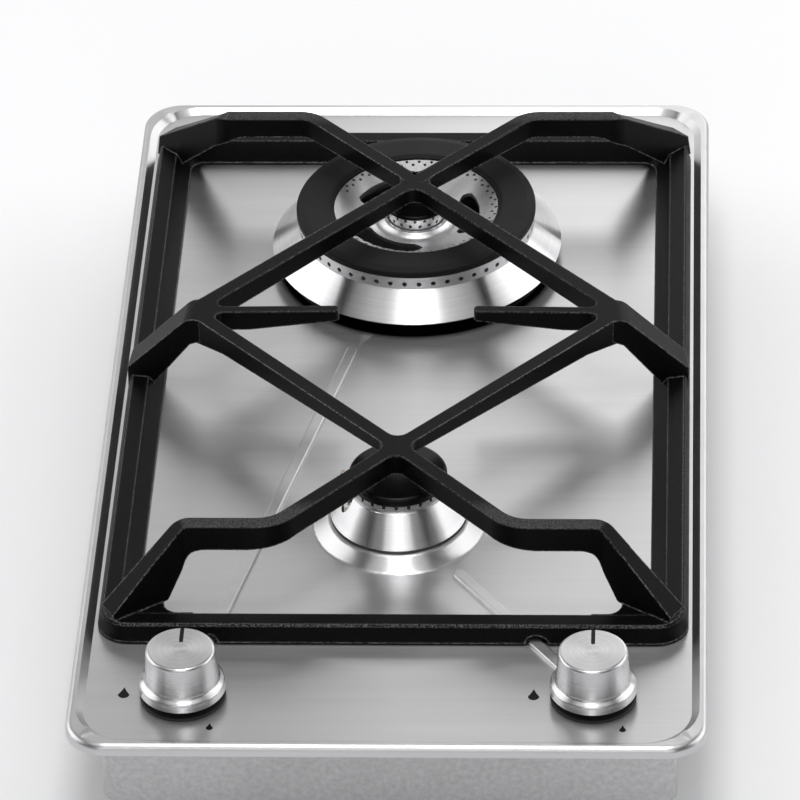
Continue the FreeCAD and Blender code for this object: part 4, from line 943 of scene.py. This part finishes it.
def makeRearCrown(s):
    def surface(radius):
        return s["dishTop"] - s["dishSlope"] * (s["capBore"] - radius)

    def under(radius):
        return surface(radius) - s["sheet"]

    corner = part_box("rear_burner_crown")[1]
    band, bandTop = corner.x, corner.z
    channelOuter = band - s["wall"]
    channelInner = s["channelInner"]
    inner = channelInner - s["channelWall"]
    rim = s["capBore"] - s["capGap"]
    foot, footRound = s["dishFoot"]
    seat, seatRound = s["seat"]
    seatZ = surface(foot) + s["seatRise"]
    profile = [
        (band, s["floor"]), (band, bandTop), (channelOuter, bandTop), (channelOuter, s["channel"]),
        (channelInner, s["channel"]), (channelInner, under(channelInner)), (rim, under(rim)),
        (rim, surface(rim)), (foot, surface(foot), footRound), (seat, seatZ, seatRound), (s["bore"], seatZ),
        (s["bore"], seatZ - s["sheet"]), (s["seatUnder"], seatZ - s["sheet"]),
        (s["footUnder"], under(s["footUnder"])), (inner, under(inner)), (inner, s["floor"]),
    ]
    drills = []
    for k in range(s["portCount"]):
        turn = 360 * (k + 0.5) / s["portCount"]
        drills.append(drill(s["portRadius"], turn, (band - 2 * s["wall"], s["portHeight"]),
                            (band + s["wall"], s["portHeight"]), s["portSides"]))
    rise = 2 * s["sheet"]
    lean = s["dishSlope"] * rise
    first, last = s["innerBlank"]
    for row, inset in enumerate(s["innerInsets"]):
        radius = s["capBore"] - inset
        for k in range(s["innerCount"]):
            turn = 360 * (k + row / 2) / s["innerCount"]
            if not first < turn < last:
                drills.append(drill(s["innerRadius"], turn, (radius + lean, surface(radius) - rise),
                                    (radius - lean, surface(radius) + rise), s["innerSides"]))
    for middle, slotInner, slotOuter in s["slots"]:
        drills.append(arcSlot(slotInner, slotOuter, middle, s["slotSweep"], s["floor"], s["dishTop"]))
    mesh = drilledRing("rearCrown", profile, s["spinSteps"], drills)
    piece = addPiece("rearCrown", mesh, "hob", "cast_aluminium", finishes["crown"])
    evenNormals(piece)
    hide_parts("rear_burner_crown")


makeRearCrown(rearCrown)


# small crown in the middle of the rear burner, with two rows of ports

centreCrown = {
    "base": 0.0140, "band": 0.0138, "bore": 0.0095,  # radii
    "baseTop": 0.0220, "bandFoot": 0.0285,  # heights
    "rimRound": 0.0003, "portCount": 18,
    "portRows": ((0.0302, 0.0009, 0.0), (0.0330, 0.0008, 0.5)),  # height, radius and shift of each row
    "portSpan": (0.0105, 0.0158), "portSides": 10, "spinSteps": 72,
}


def makeCentreCrown(s):
    low, high = (corner.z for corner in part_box("rear_centre_crown"))
    profile = [(s["bore"], low), (s["base"], low), (s["base"], s["baseTop"]), (s["band"], s["bandFoot"]),
               (s["band"], high, s["rimRound"]), (s["bore"], high)]
    start, end = s["portSpan"]
    drills = []
    for z, radius, shift in s["portRows"]:
        for k in range(s["portCount"]):
            turn = 360 * (k + shift) / s["portCount"]
            drills.append(drill(radius, turn, (start, z), (end, z), s["portSides"]))
    mesh = drilledRing("centreCrown", profile, s["spinSteps"], drills)
    piece = addPiece("centreCrown", mesh, "hob", "cast_aluminium", finishes["crown"])
    evenNormals(piece)
    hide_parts("rear_centre_crown")


makeCentreCrown(centreCrown)


# pressed plate, with a smaller seat under the rear burner and higher ribs than its node

nodeWeld = 0.000002  # joins the corners that a node's faces have in common

platePress = {
    "seatSpan": (0.0640, 0.0855),  # radii round the rear burner that are drawn in
    "newSpan": (0.0572, 0.0670),  # and where they end up
    "seatWall": (0.0710, 0.0845),  # radii of the node's own seat wall
    "seatClear": 0.0860,  # radius outside which the ribs are raised
    "ribRise": 1.45, "ribLeast": 0.0001,
    "ribEnd": (-0.0286, -0.0822),  # rear end of the left rib, from the rear burner
    "ribReach": 0.0042,  # how far round it nothing is drawn in
    "seatReach": 0.0170,  # and how far round it the seat's wall is pressed flat
    "floor": 0.0035,  # height of the well's floor
    "sheet": 0.0010, "floorGap": 0.00001,
    "skirt": 0.0020,  # height below which nothing is moved
    "rim": 0.0100,  # width of the raised rim
    "frontSeat": 0.0420, "bezel": 0.0230, "smoothAngle": 30.0,
    "level": 0.9998,  # upward part of the normal of a level face
}


def makePlate(s):
    mesh = frame["nodes"]["hob_plate"].data.copy()
    bm = openMesh(mesh, nodeWeld)
    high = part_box("hob_plate")[1]
    underside = s["floor"] - s["sheet"]
    oldInner, oldOuter = s["seatSpan"]
    newInner, newOuter = s["newSpan"]
    wallInner, wallOuter = s["seatWall"]
    ribEnd = rearAxis.xy + Vector(s["ribEnd"])

    def floorUnder(z):
        # height of the flat floor on the same side of the sheet
        return s["floor"] if z > s["floor"] - s["floorGap"] else underside

    for vert in bm.verts:
        if vert.co.z < s["skirt"]:
            continue
        away = vert.co.xy - rearAxis.xy
        radius = away.length
        toRib = (vert.co.xy - ribEnd).length
        onRib = toRib < s["ribReach"]
        if oldInner < radius < oldOuter and not onRib:
            share = (radius - oldInner) / (oldOuter - oldInner)
            vert.co.xy = rearAxis.xy + away * ((newInner + share * (newOuter - newInner)) / radius)
        if toRib < s["seatReach"] and wallInner < radius < wallOuter:
            vert.co.z = floorUnder(vert.co.z)
        inWell = abs(vert.co.x) < high.x - s["rim"] and abs(vert.co.y) < high.y - s["rim"]
        clear = (onRib or radius > s["seatClear"]) and (vert.co.xy - frontAxis.xy).length > s["frontSeat"]
        clear = clear and all((vert.co.xy - axis.xy).length > s["bezel"] for axis in knobAxes.values())
        if inWell and clear and vert.co.z > underside + s["ribLeast"]:
            base = floorUnder(vert.co.z)
            vert.co.z = base + (vert.co.z - base) * s["ribRise"]
    smoothBelow(bm, s["smoothAngle"])
    # the flat of the sheet keeps a hard border, so that its long triangles shade evenly
    for edge in bm.edges:
        level = [abs(face.normal.z) > s["level"] for face in edge.link_faces]
        if any(level) and not all(level):
            edge.smooth = False
    closeMesh(bm, mesh)
    piece = addPiece("pressedPlate", mesh, "hob", "brushed_stainless")
    evenNormals(piece)
    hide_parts("hob_plate")
    print("plate:", len(mesh.polygons), "faces")


makePlate(platePress)


# springs in the taps, which in the real tap shorten as the knobs are pushed in; here each rides on its valve
# plug unchanged


def makeSpring(side):
    node = side + "_valve_spring"
    mesh = frame["nodes"][node].data.copy()
    closeMesh(openMesh(mesh, nodeWeld), mesh)
    piece = addPiece(side + "Spring", mesh, side + "_valve_plug", slotOf[node])
    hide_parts(node)
    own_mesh(piece)


for side in knobAxes:
    makeSpring(side)


# pointers on the knobs and the printed signs round them

dial = {
    "pointer": (0.0018, 0.0100, 0.0003),  # width, length and height
    "pointerPlace": 0.0098,
    "pointerEnd": 0.49,  # rounding of its ends, as a share of its width
    "pointerRise": 0.4,  # and height of its middle over the knob, as a share of its height
    "ringRadius": 0.0270, "plate": 0.0035, "printGap": 0.00001, "print": 0.00006,
    "signs": (
        # place round the knob, size, sides, and how much the upper half is pinched and stretched
        (90.0, 0.0014, 24, 0.0, 0.0),
        (180.0, 0.0026, 28, 0.75, 0.9),
        (300.0, 0.0016, 28, 0.75, 0.9),
    ),
}


def makeSigns(s, side, axis):
    # a dot and two flames
    bm = bmesh.new()
    for place, size, sides, pinch, stretch in s["signs"]:
        made = bmesh.ops.create_circle(bm, cap_ends=True, segments=sides, radius=size)["verts"]
        for vert in made:
            climb = max(vert.co.y, 0.0) / size
            vert.co.x *= 1 - pinch * climb
            vert.co.y *= 1 + stretch * climb
        spot = aroundAxis(axis, s["ringRadius"], place, s["plate"] + s["printGap"])
        bmesh.ops.translate(bm, verts=made, vec=spot)
    pullUp(bm, bm.faces[:], s["print"])
    mesh = closeMesh(bm, bpy.data.meshes.new(side + "KnobSigns"))
    addPiece(side + "KnobSigns", mesh, "hob", "black_enamel")


def makePointer(s, side, axis):
    width, length, height = s["pointer"]
    bm = bmesh.new()
    bmesh.ops.create_cube(bm, size=1.0)
    bmesh.ops.scale(bm, vec=(width, length, height), verts=bm.verts)
    uprights = [e for e in bm.edges if abs(e.verts[0].co.z - e.verts[1].co.z) > height / 2]
    bmesh.ops.bevel(bm, geom=uprights, offset=width * s["pointerEnd"], offset_type="OFFSET", affect="EDGES",
                    segments=5, profile=0.5, material=-1)
    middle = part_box(side + "_knob")[1].z + height * s["pointerRise"]
    bmesh.ops.translate(bm, verts=bm.verts, vec=(axis.x, axis.y + s["pointerPlace"], middle))
    mesh = closeMesh(bm, bpy.data.meshes.new(side + "Pointer"))
    addPiece(side + "Pointer", mesh, side + "_knob", "black_enamel")


for side, axis in knobAxes.items():
    makeSigns(dial, side, axis)
    makePointer(dial, side, axis)
print("dial signs and pointers set")


# stage, light and camera

studio = {
    "floor": grey(0.86), "floorSize": 12.0, "floorGap": 0.0005,
    "floorSpecular": 0.1, "floorRoughness": (0.85, 0.95), "fibreScale": 3.0, "fibres": {"Detail": 2.0},
    "world": 0.12,
    "power": 4.0,  # watts from a square metre of light at brightness 1
    "lights": (
        # name, place, point it faces, size across, size up, brightness
        ("backLeftPanel", (-1.15, 2.3, 1.1), (-1.15, 0.0, 0.3), 2.0, 1.8, 0.72),
        ("backRightPanel", (0.95, 2.3, 1.1), (0.95, 0.0, 0.3), 2.2, 1.8, 1.42),
        ("leftPanel", (-2.3, 0.6, 1.3), (0.0, 0.0, 0.2), 2.6, 2.2, 1.5),
        ("rightPanel", (2.3, 0.6, 1.3), (0.0, 0.0, 0.2), 2.6, 2.2, 1.5),
        ("topPanel", (0.0, -0.5, 2.2), (0.0, -0.5, 0.0), 2.5, 1.9, 0.68),
        ("topStrip", (0.0, -0.6, 2.1), (0.0, -0.6, 0.0), 0.6, 1.8, 4.0),
        ("frontPanel", (0.0, -2.6, 1.15), (0.0, 0.0, 0.0), 2.2, 0.9, 1.5),
    ),
}


def setFloor(s):
    bm = bmesh.new()
    bmesh.ops.create_grid(bm, x_segments=1, y_segments=1, size=s["floorSize"] / 2)
    bmesh.ops.translate(bm, verts=bm.verts, vec=(0, 0, cadBox[0].z - s["floorGap"]))
    mesh = closeMesh(bm, bpy.data.meshes.new("floor"))
    floor = bpy.data.objects.new("floor", mesh)
    show(floor)
    constants = {"Base Color": s["floor"], "Specular IOR Level": s["floorSpecular"]}
    paper, tree, shader, place = newFinish("floorPaper", constants)
    setRoughness(tree, shader, addNoise(tree, place, s["fibreScale"], s["fibres"]), *s["floorRoughness"])
    mesh.materials.append(paper)


def setLights(s):
    world = bpy.data.worlds.new("studio")
    world.use_nodes = True
    backdrop = world.node_tree.nodes["Background"]
    backdrop.inputs["Color"].default_value = grey(1.0)
    backdrop.inputs["Strength"].default_value = s["world"]
    bpy.context.scene.world = world
    for name, place, facing, across, height, brightness in s["lights"]:
        lamp = bpy.data.lights.new(name, "AREA")
        lamp.shape = "RECTANGLE"
        lamp.size = across
        lamp.size_y = height
        lamp.energy = s["power"] * across * height * brightness
        light = bpy.data.objects.new(name, lamp)
        light.location = place
        light.rotation_euler = (Vector(facing) - Vector(place)).to_track_quat("-Z", "Y").to_euler()
        light.visible_camera = False
        show(light)


viewpoint = {
    "swing": 0.23,  # degrees round the hob, anticlockwise
    "place": (0.1309, -2.3471, 1.7402),
    "pitch": 36.152,  # degrees down
    "aimRight": -0.04605,  # slope of the aim off the straight-ahead line
    "aimUp": -0.00495,
    "lens": 272.96, "sensor": 36.0, "farthest": 50.0,
}


def setCamera(s):
    pitch = math.radians(s["pitch"])
    ahead = Vector((0.0, math.cos(pitch), -math.sin(pitch)))
    upward = Vector((0.0, math.sin(pitch), math.cos(pitch)))
    forward = (ahead + Vector((s["aimRight"], 0.0, 0.0)) + upward * s["aimUp"]).normalized()
    right = forward.cross(upward).normalized()
    turn = Matrix((right, right.cross(forward), -forward)).transposed()
    lens = bpy.data.cameras.new("camera")
    lens.lens = s["lens"]
    lens.sensor_width = s["sensor"]
    lens.clip_end = s["farthest"]
    camera = bpy.data.objects.new("camera", lens)
    swing = Matrix.Rotation(math.radians(s["swing"]), 4, "Z")
    camera.matrix_world = swing @ Matrix.Translation(s["place"]) @ turn.to_4x4()
    show(camera)
    bpy.context.scene.camera = camera


setFloor(studio)
setLights(studio)
setCamera(viewpoint)
bpy.context.scene.view_settings.view_transform = "Standard"
print("stage set")
